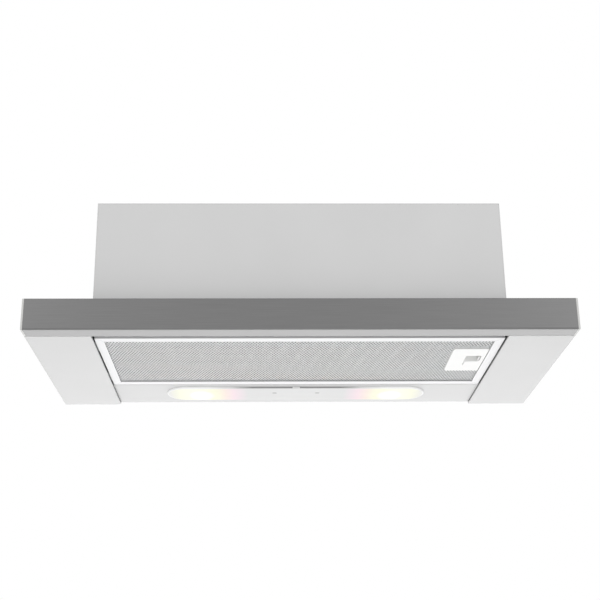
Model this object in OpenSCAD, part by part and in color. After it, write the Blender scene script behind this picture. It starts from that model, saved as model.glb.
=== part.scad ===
// Slide-out range hood for building in under a wall cabinet.
// X runs to the right, Y to the rear wall, Z up. The underside lies at Z = 0.
// The drawer is closed. Sizes are in millimetres.

/* [Overall] */
// Width over the fascia and the side strips
hood_w = 598; // [580:1:640]
// Depth from the fascia's face to the rear wall
hood_d = 280; // [276:1:310]
// Width of the upper box
body_w = 454; // [440:1:480]
// Height of the upper box above the underside
body_h = 160; // [156:1:190]
// Thickness of the folded sheet
sheet = 1; // [0.8:0.1:1.2]

/* [Fascia] */
// Height of the fascia
fascia_h = 36; // [35:1:42]
// Depth of the fascia
fascia_d = 22; // [20:1:26]
// Radius of the fascia's folded edges
fascia_bend = 1.6; // [1.4:0.1:2.4]
// Height of the lip folded up at the rear of its underside
fascia_lip = 5; // [3:0.5:6]
// Gap between the closed fascia and the upper box
fascia_gap = 0.6; // [0.4:0.1:1]
// Thickness of the end caps
cap_t = 2; // [1.5:0.1:3]
// Depth that the end caps plug into the fascia
cap_plug = 8; // [5:1:12]

/* [Side strips] */
// Width of the strips' top flange, which meets the cabinet
strip_flange = 50; // [44:1:56]
// Radius of the holes for the cabinet screws
cabinet_hole_r = 2.5; // [2:0.1:3]
// Distance of the cabinet screws from the hood's side
cabinet_hole_in = 27; // [22:1:32]
// Distance between the front and the rear cabinet screws
cabinet_hole_span = 170; // [120:5:190]

/* [Drawer] */
// Travel of the drawer
travel = 165; // [140:1:170]
// Thickness of the drawer frame's sheet
frame_t = 1.2; // [1:0.1:1.4]
// Gap between the front flange and the end caps' plugs
flange_gap = 12; // [8:1:24]
// Height of the drawer's side rails
rail_h = 17; // [15:0.5:17]
// Thickness of the lips that hold the filter
lip_t = 1; // [0.8:0.1:1.2]
// Radius of the studs that hold the fascia
stud_r = 2; // [1.5:0.1:2.5]

/* [Runners] */
// Height of the outer runner
runner_h = 18; // [18:0.5:20]
// Length that the runner members still overlap with the drawer out
runner_overlap = 35; // [30:1:45]
// Thickness of the runner's steel
runner_t = 1.2; // [1:0.1:1.3]
// Running gap between the runner members
runner_gap = 0.3; // [0.2:0.05:0.4]
// Depth of the inner member's flanges
runner_nest = 6; // [5:0.25:7]

/* [Filters] */
// Height of the visible filter above the underside
filter_z = 2; // [1.5:0.1:3]
// Thickness of each filter
filter_t = 8; // [8:0.1:9]
// Gap between the fascia and the visible filter
filter_front_gap = 12; // [10:1:14]
// Gap between the visible filter and the side strips
filter_side_gap = 1.6; // [1.5:0.1:2.5]
// Width of the frame's side borders
border_x = 9.5; // [8:0.5:12]
// Width of the frame's front and rear borders
border_y = 10.5; // [8:0.5:12]
// Thickness of the frame's folded aluminium
frame_skin = 1.1; // [0.8:0.1:1.3]
// Thickness of the expanded sheet
mesh_t = 1; // [0.8:0.1:1.2]
// Columns of openings in the expanded sheet
mesh_cols = 20; // [10:1:22]
// Rows of openings in the expanded sheet
mesh_rows = 6; // [4:1:8]
// Width of the metal between the openings
strand = 2.4; // [1.8:0.1:3.2]
// Columns of openings in the layered pack
pack_cols = 32; // [24:1:34]
// Rows of openings in the layered pack
pack_rows = 9; // [7:1:10]
// Width of the metal in the layered pack
pack_strand = 5; // [4:0.5:6]

/* [Filter latches] */
// Width of the latch housing, across the hood
latch_w = 41; // [36:1:46]
// Length of the latch housing, front to rear
latch_l = 77; // [60:1:84]
// Distance from the filter's front edge to the housing
latch_from_front = 38; // [30:1:50]
// Corner radius of the housing
latch_corner = 4; // [3:0.5:8]
// Width of the finger pocket
pocket_w = 18; // [16:0.5:20]
// Length of the finger pocket
pocket_l = 20.5; // [18:0.5:26]
// Radius of the pocket's corners at the latch
pocket_corner = 4; // [2:0.5:5]
// Distance of the pocket in front of the housing's middle
pocket_forward = 5.5; // [0:0.5:6]
// Distance of the pocket from the frame's border
pocket_in = 5; // [4:0.5:7]
// Wall of the pocket
pocket_wall = 1.5; // [1.2:0.1:2]
// Length of the groove behind the pocket
groove_l = 12; // [8:0.5:14]
// Width of the groove behind the pocket
groove_w = 1.4; // [1:0.1:2]
// Seam between the latch housing and the frame
latch_seam = 0.8; // [0.4:0.1:1.2]
// Travel of the latch
latch_travel = 4; // [3:0.25:4.5]
// Width of the latch's tongue, front to rear
tongue_w = 14; // [10:1:16]
// Thickness of the tongue
tongue_t = 2; // [1.6:0.1:2.2]
// Running gap round the tongue
tongue_gap = 0.3; // [0.2:0.05:0.4]

/* [Lamps] */
// Depth of the lamp panel, front to rear
lamp_d = 75; // [74:0.5:80]
// Length of the lamp cover
cover_w = 326; // [300:1:340]
// Depth of the lamp cover
cover_d = 50; // [46:1:54]
// Wall of the lamp cover
cover_t = 1.5; // [1.2:0.1:2]
// Height of the lamp cover's face above the underside
cover_z = 0.4; // [0.3:0.1:1]
// Distance of each bulb's middle from the hood's middle
bulb_x = 128; // [120:1:132]
// Radius of the bulbs
bulb_r = 11.5; // [10:0.25:12]
// Length of the glass of the bulbs
bulb_l = 46; // [40:1:50]
// Radius of the bulbs' metal base
bulb_base_r = 7; // [6.5:0.1:7.5]
// Length of the bulbs' metal base
bulb_base_l = 18; // [16:1:20]
// Wall of the lamp holders
holder_wall = 3.5; // [3:0.25:4]

/* [Blowers] */
// Room in the scrolls' throats, above the circle of the impeller's housing
scroll_throat = 13.24; // [13:0.02:20]
// Width of the impellers
impeller_w = 36; // [30:1:38]
// Number of blades on an impeller
blades = 22; // [16:1:28]
// Thickness of a blade
blade_t = 1.2; // [1:0.1:1.6]
// Depth of the ring of blades
blade_depth = 11; // [9:0.5:13]
// Gap between the impeller and the start of the scroll
scroll_start_gap = 4; // [3:0.25:5]
// Growth of the scroll's radius along its spiral
scroll_growth = 17; // [14:0.5:19]
// Outer width of each scroll
scroll_w = 48; // [46:0.5:50]
// Wall of the scrolls
scroll_wall = 2; // [1.6:0.1:2.4]
// Distance of the inlet's edge inside the impeller's edge
inlet_in = 9; // [8:0.5:12]
// Radius of the motors' bearing housings
motor_r = 25; // [20:0.5:28]
// Length of the motors
motor_l = 46; // [40:1:54]
// Side of the motors' lamination stacks
stack_w = 56; // [50:1:60]
// Radius of the motor shafts
shaft_r = 3; // [2.5:0.1:4]
// Radial clearance of the shafts in the motors
shaft_clear = 0.06; // [0.04:0.01:0.08]
// Distance from the scrolls to the motors
motor_gap = 10; // [8:0.5:14]

/* [Outlet] */
// Outer radius of the outlet collar
collar_r = 59.5; // [57:0.5:60]
// Height of the collar above the upper box
collar_h = 28; // [26:0.5:34]
// Wall of the collar
collar_wall = 2.4; // [2.2:0.1:2.8]
// Radius of the collar's flange
flange_r = 78; // [77:0.5:82]
// Thickness of the collar's flange
flange_t = 2; // [1.6:0.1:3]
// Radius at which the collar's screws stand
collar_screw_pcr = 72; // [70.5:0.1:73]
// Thickness of the flaps
flap_t = 1.5; // [1.2:0.1:1.8]
// Radius of the flaps' pins
flap_pin_r = 1.2; // [1:0.05:1.3]
// Radial clearance of the flaps' pins
flap_pin_clear = 0.07; // [0.05:0.01:0.09]

/* [Controls] */
// Width of the switch bezel
bezel_w = 92; // [84:1:96]
// Height of the switch bezel
bezel_h = 15; // [14:0.25:15]
// Distance of the bezel's middle to the right of the hood's middle
bezel_x = 140; // [100:1:145]
// Travel of the fan knob
fan_travel = 15; // [12:0.5:18]
// Travel of the light knob
light_travel = 6; // [4:0.5:8]
// Side of the knobs
knob_w = 7; // [6:0.25:8]
// Distance the knobs stand out
knob_out = 6; // [4:0.5:8]

/* [Electrics] */
// Side of the square junction box
box_w = 60; // [54:1:66]
// Height of the junction box
box_h = 38; // [34:1:42]
// Wall of the junction box
box_wall = 2; // [1.6:0.1:2.4]
// Distance of the junction box's middle from the side wall
box_side = 54; // [50:1:58]
// Distance of the junction box's middle from the rear of the hood
box_rear = 44; // [43:1:50]
// Radius of the cable bore in the gland
cable_r = 3.6; // [3:0.1:4.5]

/* [Hidden] */
$fn = 64;
eps = 0.01;
seat = 0.1;

// Depth positions, from the front to the rear
front_y = -hood_d / 2;
rear_y = hood_d / 2;
wall_y = front_y + fascia_d;
filter_y0 = wall_y + filter_front_gap;
lamp_gap = 3;
lamp_y0 = rear_y - sheet - lamp_d;
filter_y1 = lamp_y0 - lamp_gap;
filter_d = filter_y1 - filter_y0;

// Side positions, from the outside to the middle
half_w = hood_w / 2;
half_body = body_w / 2;
inner_x = half_body - sheet;
filter_half = half_body - filter_side_gap;
outer_web = inner_x - runner_t;
middle_x1 = outer_web - runner_gap;
middle_web = middle_x1 - runner_t;
inner_x1 = middle_web - runner_gap;
rail_face = inner_x1 - runner_nest;
rail_x1 = rail_face - runner_t;
rail_x0 = rail_x1 - frame_t;
tab_depth = 3.6;
tab_x0 = rail_x0 - tab_depth;
well_gap = 1.5;
well_x1 = tab_x0 - well_gap;
well_x0 = well_x1 - frame_t;
fixed_half = well_x0 - 2 * seat;

// Heights, from the underside up
filter_top = filter_z + filter_t;
plate_z1 = filter_top + frame_t;
pass = 0.8;
runner_z0 = plate_z1 + pass;
runner_z1 = runner_z0 + runner_h;
middle_z0 = runner_z0 + runner_t + runner_gap;
middle_z1 = runner_z1 - runner_t - runner_gap;
slide_z0 = middle_z0 + runner_t + runner_gap;
slide_z1 = middle_z1 - runner_t - runner_gap;
wall_low = plate_z1 + 1.8;
fixed_z = plate_z1 + 2.8;
fixed_top = fixed_z + filter_t;
deck_z = runner_z1 + 2;
deck_top = deck_z + frame_t;
well_rim = 12;
top_in = body_h - sheet;
side_low = 3;

// Runner lengths
runner_len = travel + runner_overlap;
runner_y0 = wall_y + 3;
runner_y1 = runner_y0 + runner_len;
slots = 5;
slot_l = 20;
rail_y1 = filter_y1 + 0.2;
slide_y1 = rail_y1 - 6;

// Latch
latch_y0 = filter_y0 + latch_from_front;
latch_ym = latch_y0 + latch_l / 2;
pocket_ym = latch_ym - pocket_forward;
latch_low = 0.3;
plate_t = 2;
groove_deep = 1.3;
rib_t = 1.6;
rib_in = 8;
rib_reach = 6;
pocket_top = filter_t - 0.3;
pocket_roof = 0.8;
tongue_z = 3.2;
fin_t = 2;
drawer_reach = lip_t + 0.4;
fixed_reach = well_x1 - fixed_half + 0.4;
hook_w = 18;
hook_from_end = 30;
slot_gap = 0.2;

// Drawer openings
neck_half = outer_web - 0.8;
flange_half = half_w - cap_t - cap_plug - flange_gap;
stud_out = flange_half - 38;
stud_z = fascia_h / 2 + 3;
latch_lip = 22;
hook_lip = 15;
frame_open_x = rail_x0 - 14;
frame_open_y0 = filter_y0 + 9;
frame_open_y1 = filter_y1 - 9;

// Lamp positions
lamp_ym = (lamp_y0 + rear_y - sheet) / 2 - 3;
bulb_z = deck_z - bulb_r - 1;
panel_z = 2.5;
panel_t = 1;
panel_top = 11.5;
panel_low = 6.5;
panel_ear = 12;

// Blower positions. The impeller is as large as the box's height lets it be
outlet_y = (wall_y + rear_y) / 2;
scroll_below = 0.68 * scroll_growth + scroll_wall + 1;
scroll_r0 = (top_in - deck_top - scroll_below - scroll_throat) / 2;
impeller_r = scroll_r0 - scroll_start_gap;
inlet_r = impeller_r - inlet_in;
scroll_r1 = scroll_r0 + scroll_growth;
tongue_angle = 100;
mouth_u = scroll_r0 * cos(tongue_angle);
axle_y = outlet_y + (scroll_r1 - mouth_u) / 2;
axle_z = deck_top + scroll_r0 + scroll_below;
partition = 1;
bracket_t = 2;
motor_x0 = partition + scroll_w + motor_gap;
screw_at = collar_screw_pcr * sqrt(0.5);
impeller_x0 = partition + (scroll_w - impeller_w) / 2;
shaft_end = motor_x0 + motor_l - 6;

// Collar positions
collar_in = collar_r - collar_wall;
flap_y = 3.4;
flap_z = body_h + flange_t + 7;
ledge_top = flap_z - flap_pin_r - 0.3;
flap_r = collar_in - 0.6;
ledge_w = 3;

// Folded flanges of the upper box's walls
fold_w = 10;
fold_gap = 1.5;

// Gland and junction box
gland_r = 8;
gland_cap_r = 9;
gland_hex_r = 11;
gland_hole_r = gland_r + 0.2;
box_x = inner_x - box_side;
box_y = rear_y - box_rear;

// Fasteners
screw_r = 1.9;
screw_hole_r = 2.05;
head_r = 3.6;
head_h = 1.8;
side_screw_ys = [-60, lamp_y0 + 16, rear_y - 15];
rear_screw_z = 7.5;
front_screw_z = fascia_h - 5;

// Controls
bezel_t = 1.5;
bezel_z0 = wall_low + 3;
knob_z = bezel_z0 + bezel_h / 2;
fan_x = bezel_x - 18;
light_x = bezel_x + 26;
stem_w = 3;
stem_h = 2.4;
switch_d = 8;
slot_clear = 0.5;

// Drawer switch
plunger_r = 1.5;
plunger_x = (tab_x0 + rail_x1) / 2;
plunger_z = (runner_z0 + runner_z1) / 2;
plunger_out = 4;
plunger_clear = 0.06;

// A block between two corners
module block(x0, x1, y0, y1, z0, z1) {
    translate([x0, y0, z0]) cube([x1 - x0, y1 - y0, z1 - z0]);
}

// A cylinder along X
module rod_x(r, x0, x1, y, z, fn = 64) {
    translate([x0, y, z]) rotate([0, 90, 0]) cylinder(r = r, h = x1 - x0, $fn = fn);
}

// A cylinder along Y
module rod_y(r, y0, y1, x, z, fn = 64) {
    translate([x, y0, z]) rotate([-90, 0, 0]) cylinder(r = r, h = y1 - y0, $fn = fn);
}

// A cylinder along Z
module rod_z(r, z0, z1, x, y, fn = 64) {
    translate([x, y, z0]) cylinder(r = r, h = z1 - z0, $fn = fn);
}

// The same shape on the left, mirrored
module left_hand() {
    mirror([1, 0, 0]) children();
}

// A flat rectangle with round corners
module round_rect(w, d, r) {
    square([w - 2 * r, d], center = true);
    square([w, d - 2 * r], center = true);
    for (sx = [-1, 1], sy = [-1, 1]) {
        translate([sx * (w / 2 - r), sy * (d / 2 - r)]) circle(r = r);
    }
}

// A flat rectangle with fully round ends
module stadium(w, d) {
    square([w - d, d], center = true);
    for (s = [-1, 1]) {
        translate([s * (w - d) / 2, 0]) circle(r = d / 2, $fn = 96);
    }
}

// Upper box

module side_screw_cuts(x0, x1) {
    rod_x(screw_hole_r, x0, x1, side_screw_ys[0], front_screw_z);
    for (i = [1, 2]) {
        rod_x(screw_hole_r, x0, x1, side_screw_ys[i], rear_screw_z);
    }
}

module collar_screw_cuts(z0, z1) {
    for (sx = [-1, 1], sy = [-1, 1]) {
        rod_z(screw_hole_r, z0, z1, sx * screw_at, outlet_y + sy * screw_at);
    }
}

module housing_top() {
    color("gainsboro") difference() {
        block(-half_body, half_body, wall_y, rear_y, top_in, body_h);
        rod_z(collar_in, top_in - 1, body_h + 1, 0, outlet_y);
        rod_z(gland_hole_r, top_in - 1, body_h + 1, box_x, box_y);
        collar_screw_cuts(top_in - 1, body_h + 1);
    }
}

// Flanges folded from a front or rear wall: two against the sides and one under the top
module wall_folds(y0, y1) {
    z0 = deck_top + well_rim + fold_gap;
    z1 = top_in - sheet - fold_gap;
    for (s = [0, 1]) {
        mirror([s, 0, 0]) block(inner_x - sheet, inner_x, y0, y1, z0, z1);
    }
    side = inner_x - fold_w - sheet - fold_gap;
    block(-side, side, y0, y1, top_in - sheet, top_in);
}

module housing_front() {
    notch_x = tab_x0 - 0.8;
    y1 = wall_y + sheet;
    color("gainsboro") difference() {
        union() {
            block(-inner_x, inner_x, wall_y, y1, wall_low, top_in);
            wall_folds(y1 - eps, y1 + fold_w);
        }
        // Notches for the rails and the runners
        for (s = [0, 1]) {
            mirror([s, 0, 0]) block(notch_x, inner_x + 1, wall_y - 1, y1 + 1, 0, runner_z1 + 1);
        }
        // Window behind the switch bezel
        block(bezel_x - bezel_w / 2 + 4, bezel_x + bezel_w / 2 - 4,
            wall_y - 1, y1 + 1, bezel_z0 + 2, bezel_z0 + bezel_h - 2);
    }
}

module housing_rear() {
    y0 = rear_y - sheet;
    color("gainsboro") {
        block(-inner_x, inner_x, y0, rear_y, side_low, top_in);
        wall_folds(y0 - fold_w, y0 + eps);
    }
}

module housing_side() {
    color("gainsboro") difference() {
        union() {
            block(inner_x, half_body, wall_y, rear_y, side_low, top_in);
            block(inner_x - fold_w, inner_x + eps, wall_y + sheet + fold_w + fold_gap,
                rear_y - sheet - fold_w - fold_gap, top_in - sheet, top_in);
        }
        // The wall stops above the filter
        block(inner_x - 1, half_body + 1, wall_y - 1, lamp_y0, 0, runner_z0);
        side_screw_cuts(inner_x - 1, half_body + 1);
    }
}

module side_strip() {
    y0 = wall_y;
    y1 = rear_y;
    color("silver") difference() {
        block(half_body, half_w, y0, y1, 0, fascia_h);
        block(half_body + sheet, half_w - sheet, y0 + sheet, y1 - sheet, sheet, fascia_h - sheet);
        // The top is open beside the upper box
        block(half_body - 1, half_w - strip_flange, y0 - 1, y1 + 1, fascia_h - sheet, fascia_h + 1);
        for (s = [-1, 1]) {
            rod_z(cabinet_hole_r, fascia_h - sheet - 1, fascia_h + 1,
                half_w - cabinet_hole_in, s * cabinet_hole_span / 2);
        }
        side_screw_cuts(half_body - 1, half_body + sheet + 1);
    }
}

module side_screw(y, z, x0) {
    head_x = half_body + sheet;
    rod_x(head_r, head_x, head_x + head_h, y, z);
    rod_x(screw_r, x0, head_x + eps, y, z);
}

module side_screw_set() {
    side_screw(side_screw_ys[0], front_screw_z, inner_x);
    for (i = [1, 2]) {
        side_screw(side_screw_ys[i], rear_screw_z, inner_x - 4);
    }
}

module side_screws() {
    color("silver") {
        side_screw_set();
        left_hand() side_screw_set();
    }
}

// Deck with the well of the fixed filter

module filter_well() {
    w_y0 = filter_y0 - 2 * seat - frame_t;
    w_y1 = filter_y1 + 2 * seat + frame_t;
    low = fixed_z - 0.5;
    ledge = 8;
    color("lightgray") difference() {
        union() {
            block(-inner_x, inner_x, wall_y + sheet, rear_y - sheet, deck_z, deck_top + well_rim);
            block(-well_x1, well_x1, w_y0, w_y1, low, deck_z + eps);
        }
        block(-inner_x + frame_t, inner_x - frame_t, wall_y + sheet + frame_t, rear_y - sheet - frame_t,
            deck_top, deck_top + well_rim + 1);
        // Pocket of the filter, and the way through above its ledge
        block(-well_x0, well_x0, w_y0 + frame_t, w_y1 - frame_t, low - 1, fixed_top);
        block(-well_x0, well_x0, w_y0 + frame_t, w_y1 - frame_t, fixed_top + frame_t, deck_top + 1);
        block(-well_x0 + ledge, well_x0 - ledge, w_y0 + ledge, w_y1 - ledge, low, deck_top + 1);
        // Slots for the tongue on the right and the hooks on the left
        tongue_slot(well_x0 - 1, well_x1 + 1, fixed_z);
        left_hand() hook_slots(well_x0 - 1, well_x1 + 1, fixed_z);
    }
}

// Grease filters. half is half the width and z the lower face.

module tongue_slot(x0, x1, z) {
    block(x0, x1, pocket_ym - tongue_w / 2 - tongue_gap, pocket_ym + tongue_w / 2 + tongue_gap,
        z + tongue_z - tongue_gap, z + tongue_z + tongue_t + tongue_gap);
}

module hook_pair(x0, x1, z, gap) {
    for (y = [filter_y0 + hook_from_end, filter_y1 - hook_from_end]) {
        block(x0, x1, y - hook_w / 2 - gap, y + hook_w / 2 + gap,
            z + tongue_z - gap, z + tongue_z + tongue_t + gap);
    }
}

module hook_slots(x0, x1, z) {
    hook_pair(x0, x1, z, slot_gap);
}

// The way that the latch housing takes out of the mesh and the pack
module latch_room(half, z, gap) {
    x1 = half - border_x;
    block(x1 - latch_w - gap, half, latch_y0 - gap, latch_y0 + latch_l + gap, z - 1, z + filter_t + 1);
}

module filter_frame(half, z, reach) {
    color("whitesmoke") {
        difference() {
            block(-half, half, filter_y0, filter_y1, z, z + filter_t);
            block(-half + frame_skin, half - frame_skin, filter_y0 + frame_skin, filter_y1 - frame_skin,
                z + frame_skin, z + filter_t - frame_skin);
            block(-half + border_x, half - border_x, filter_y0 + border_y, filter_y1 - border_y,
                z - 1, z + filter_t + 1);
            tongue_slot(half - frame_skin - 1, half + 1, z);
        }
        left_hand() hook_pair(half - eps, half + reach, z, 0);
    }
}

// One lozenge-shaped opening
module lozenge(w, d) {
    polygon([[-w / 2, 0], [0, -d / 2], [w / 2, 0], [0, d / 2]]);
}

module expanded_sheet(half, z0, z1, cols, rows, web, z) {
    w = half - frame_skin - seat;
    y0 = filter_y0 + frame_skin + seat;
    y1 = filter_y1 - frame_skin - seat;
    open_w = 2 * (half - border_x);
    open_d = filter_d - 2 * border_y;
    step_x = open_w / cols;
    step_y = open_d / rows;
    difference() {
        translate([0, 0, z0]) linear_extrude(z1 - z0) difference() {
            translate([-w, y0]) square([2 * w, y1 - y0]);
            for (i = [0:cols - 1], j = [0:rows - 1]) {
                translate([(i + 0.5) * step_x - open_w / 2, filter_y0 + border_y + (j + 0.5) * step_y])
                    lozenge(step_x - web, step_y - web);
            }
            for (i = [1:cols - 1], j = [1:rows - 1]) {
                translate([i * step_x - open_w / 2, filter_y0 + border_y + j * step_y])
                    lozenge(step_x - web, step_y - web);
            }
        }
        latch_room(half, z, 0);
    }
}

module filter_mesh(half, z) {
    color("silver")
        expanded_sheet(half, z + frame_skin, z + frame_skin + mesh_t, mesh_cols, mesh_rows, strand, z);
}

module filter_pack(half, z) {
    color("gray")
        expanded_sheet(half, z + frame_skin + mesh_t, z + filter_t - frame_skin,
            pack_cols, pack_rows, pack_strand, z);
}

// A rectangle that is square on the left and round on the right
module pocket_outline() {
    round_rect(pocket_w, pocket_l, pocket_corner);
    translate([-pocket_w / 2, -pocket_l / 2]) square([pocket_w / 2, pocket_l]);
}

// Latch housing: a moulded plate with a finger pocket
module latch_housing(half, z) {
    x1 = half - border_x;
    px1 = x1 - pocket_in;
    px0 = px1 - pocket_w;
    pocket_y1 = pocket_ym + pocket_l / 2;
    color("white") difference() {
        union() {
            translate([x1 - latch_w / 2, latch_ym, z + latch_low])
                linear_extrude(plate_t) {
                    round_rect(latch_w, latch_l, latch_corner);
                    translate([0, -latch_l / 2]) square([latch_w / 2, latch_l]);
                }
            block(px0 - pocket_wall, px1 + pocket_wall, pocket_ym - pocket_l / 2 - pocket_wall,
                pocket_y1 + pocket_wall, z + latch_low, z + pocket_top);
            // Ribs that reach the frame's upper lip
            for (y = [latch_y0 + rib_in, latch_y0 + latch_l - rib_in]) {
                block(x1 - latch_w + rib_in / 2, x1 + rib_reach, y - rib_t / 2, y + rib_t / 2,
                    z + frame_skin + 0.4, z + filter_t - frame_skin);
            }
        }
        translate([px0 + pocket_w / 2, pocket_ym, z - 1])
            linear_extrude(pocket_top - pocket_roof + 1) pocket_outline();
        block(px0, px0 + groove_w, pocket_y1 - 1, pocket_y1 + groove_l, z - 1, z + latch_low + groove_deep);
        block(x1 - latch_seam, x1 + 1, latch_y0 - 1, latch_y0 + latch_l + 1, z - 1, z + latch_low + plate_t);
        tongue_slot(px1 - 1, px1 + pocket_wall + 1, z);
    }
}

// Sliding latch: a finger fin in the pocket and a tongue to the right
module latch_slide(half, z, reach) {
    px1 = half - border_x - pocket_in;
    fin_x1 = px1 - latch_travel * 0.25;
    color("gainsboro") {
        block(fin_x1 - fin_t, half + reach, pocket_ym - tongue_w / 2, pocket_ym + tongue_w / 2,
            z + tongue_z, z + tongue_z + tongue_t);
        block(fin_x1 - fin_t, fin_x1, pocket_ym - tongue_w / 2, pocket_ym + tongue_w / 2,
            z + 0.6, z + tongue_z + tongue_t);
    }
}

// Lamp unit

module lamp_panel() {
    x1 = inner_x;
    y1 = rear_y - sheet;
    color("silver") difference() {
        block(-x1, x1, lamp_y0, y1, panel_z, panel_top);
        block(-x1 + panel_t, x1 - panel_t, lamp_y0 + panel_t, y1 - panel_t, panel_z + panel_t, panel_top + 1);
        // The front and rear flanges are lower than the sides, which take the screws
        block(-x1 + panel_ear, x1 - panel_ear, lamp_y0 - 1, y1 + 1, panel_low, panel_top + 1);
        translate([0, lamp_ym, panel_z - 1]) linear_extrude(panel_t + 2)
            stadium(cover_w - 2 * cover_t, cover_d - 2 * cover_t);
        side_screw_cuts(x1 - panel_t - 1, x1 + 1);
        left_hand() side_screw_cuts(x1 - panel_t - 1, x1 + 1);
    }
}

module lamp_cover() {
    lip = cover_t;
    color("ivory") {
        difference() {
            union() {
                translate([0, lamp_ym, cover_z]) linear_extrude(panel_z - cover_z)
                    stadium(cover_w, cover_d);
                translate([0, lamp_ym, panel_z - eps]) linear_extrude(panel_t + 1.5)
                    stadium(cover_w - 2 * lip - 2 * seat, cover_d - 2 * lip - 2 * seat);
            }
            translate([0, lamp_ym, cover_z + cover_t * 0.8]) linear_extrude(20)
                stadium(cover_w - 4 * cover_t, cover_d - 4 * cover_t);
        }
        // Clip tab at the front
        block(-3, 3, lamp_ym - cover_d / 2 - 1.5, lamp_ym - cover_d / 2 + eps, cover_z, panel_z);
    }
}

module lamp_holder() {
    r = bulb_base_r + holder_wall;
    x1 = bulb_x - bulb_l / 2 - 2;
    x0 = x1 - bulb_base_l - 4;
    foot_y = lamp_ym + cover_d / 2 + 2;
    color("white") difference() {
        union() {
            rod_x(r, x0, x1, lamp_ym, bulb_z);
            block(x0, x0 + 12, lamp_ym, foot_y + 7, bulb_z - 3, bulb_z + 3);
            block(x0, x0 + 12, foot_y, foot_y + 7, panel_z + panel_t, bulb_z + 3);
        }
        rod_x(bulb_base_r + seat, x0 + 3, x1 + 1, lamp_ym, bulb_z);
    }
}

module bulb() {
    glass_x0 = bulb_x - bulb_l / 2;
    neck_r = bulb_base_r;
    color("lightyellow") {
        translate([glass_x0, lamp_ym, bulb_z]) rotate([0, 90, 0]) rotate_extrude() {
            difference() {
                union() {
                    square([neck_r, 6]);
                    translate([0, 4]) square([bulb_r, bulb_l - 4 - bulb_r]);
                    translate([0, bulb_l - bulb_r]) circle(r = bulb_r);
                }
                translate([-bulb_r - 1, -1]) square([bulb_r + 1, bulb_l + 2]);
            }
        }
        rod_x(neck_r, glass_x0 - bulb_base_l, glass_x0 + eps, lamp_ym, bulb_z);
    }
}

// Runners, for the right side

module runner_outer() {
    color("silver") difference() {
        block(rail_face + 0.5, inner_x, runner_y0, runner_y1, runner_z0, runner_z1);
        block(rail_face - 1, outer_web, runner_y0 - 1, runner_y1 + 1,
            runner_z0 + runner_t, runner_z1 - runner_t);
    }
}

module runner_middle() {
    color("gainsboro") difference() {
        block(rail_face + 0.5, middle_x1, runner_y0, runner_y1, middle_z0, middle_z1);
        block(rail_face - 1, middle_web, runner_y0 - 1, runner_y1 + 1,
            middle_z0 + runner_t, middle_z1 - runner_t);
        // Lightening slots along the web
        for (i = [0:slots - 1]) {
            y = runner_y0 + (i + 0.5) * runner_len / slots;
            block(middle_web - 1, middle_x1 + 1, y - slot_l / 2, y + slot_l / 2,
                (middle_z0 + middle_z1) / 2 - 2, (middle_z0 + middle_z1) / 2 + 2);
        }
    }
}

module runner_inner() {
    color("silver") difference() {
        block(rail_x1, inner_x1, runner_y0, slide_y1, slide_z0, slide_z1);
        block(rail_face, inner_x1 + 1, runner_y0 - 1, slide_y1 + 1,
            slide_z0 + runner_t, slide_z1 - runner_t);
    }
}

// Controls

module switch_bezel() {
    color("dimgray") difference() {
        union() {
            translate([bezel_x, wall_y, bezel_z0 + bezel_h / 2]) rotate([90, 0, 0])
                linear_extrude(bezel_t) round_rect(bezel_w, bezel_h, 3);
            block(bezel_x - bezel_w / 2 + 4.2, bezel_x + bezel_w / 2 - 4.2,
                wall_y - eps, wall_y + sheet, bezel_z0 + 2.2, bezel_z0 + bezel_h - 2.2);
        }
        stem_slot(fan_x, fan_travel);
        stem_slot(light_x, light_travel);
    }
}

module stem_slot(x, move) {
    block(x - stem_w / 2 - slot_clear, x + stem_w / 2 + move + slot_clear,
        wall_y - bezel_t - 1, wall_y + sheet + 1,
        knob_z - stem_h / 2 - slot_clear, knob_z + stem_h / 2 + slot_clear);
}

module slide_switch(x, move) {
    y0 = wall_y + sheet;
    color("black") difference() {
        block(x - 8, x + move + 8, y0, y0 + switch_d, knob_z - 5, knob_z + 5);
        block(x - stem_w / 2 - slot_clear, x + stem_w / 2 + move + slot_clear,
            y0 - 1, y0 + 4, knob_z - stem_h / 2 - slot_clear, knob_z + stem_h / 2 + slot_clear);
    }
}

module fan_switch() {
    slide_switch(fan_x, fan_travel);
}

module light_switch() {
    slide_switch(light_x, light_travel);
}

module knob(x) {
    y0 = wall_y - bezel_t - 0.3;
    color("silver") {
        difference() {
            block(x - knob_w / 2, x + knob_w / 2, y0 - knob_out, y0,
                knob_z - knob_w / 2, knob_z + knob_w / 2);
            // Grip grooves
            for (i = [-1:1]) {
                block(x + i * 2 - 0.4, x + i * 2 + 0.4, y0 - knob_out - 1, y0 - knob_out + 0.8,
                    knob_z - knob_w, knob_z + knob_w);
            }
        }
        block(x - stem_w / 2, x + stem_w / 2, y0 - eps, wall_y + sheet + 3.5,
            knob_z - stem_h / 2, knob_z + stem_h / 2);
    }
}

module fan_knob() {
    knob(fan_x);
}

module light_knob() {
    knob(light_x);
}

module drawer_switch() {
    y0 = rail_y1 + plunger_out;
    color("black") difference() {
        union() {
            block(plunger_x - 5, plunger_x + 3.5, y0, y0 + 18, plunger_z - 7, plunger_z + 5);
            // Foot on the lamp panel
            block(plunger_x - 5, plunger_x + 3.5, y0 + 4, y0 + 14, panel_z + panel_t, plunger_z - 7 + eps);
        }
        rod_y(plunger_r + plunger_clear, y0 - 1, y0 + 10, plunger_x, plunger_z);
    }
}

module switch_plunger() {
    color("red") rod_y(plunger_r, rail_y1 + 0.2, rail_y1 + plunger_out + 7, plunger_x, plunger_z);
}

// Blowers, for the right side

function spiral_r(a) = scroll_r0 + scroll_growth * (tongue_angle - a) / (tongue_angle + 180);

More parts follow.
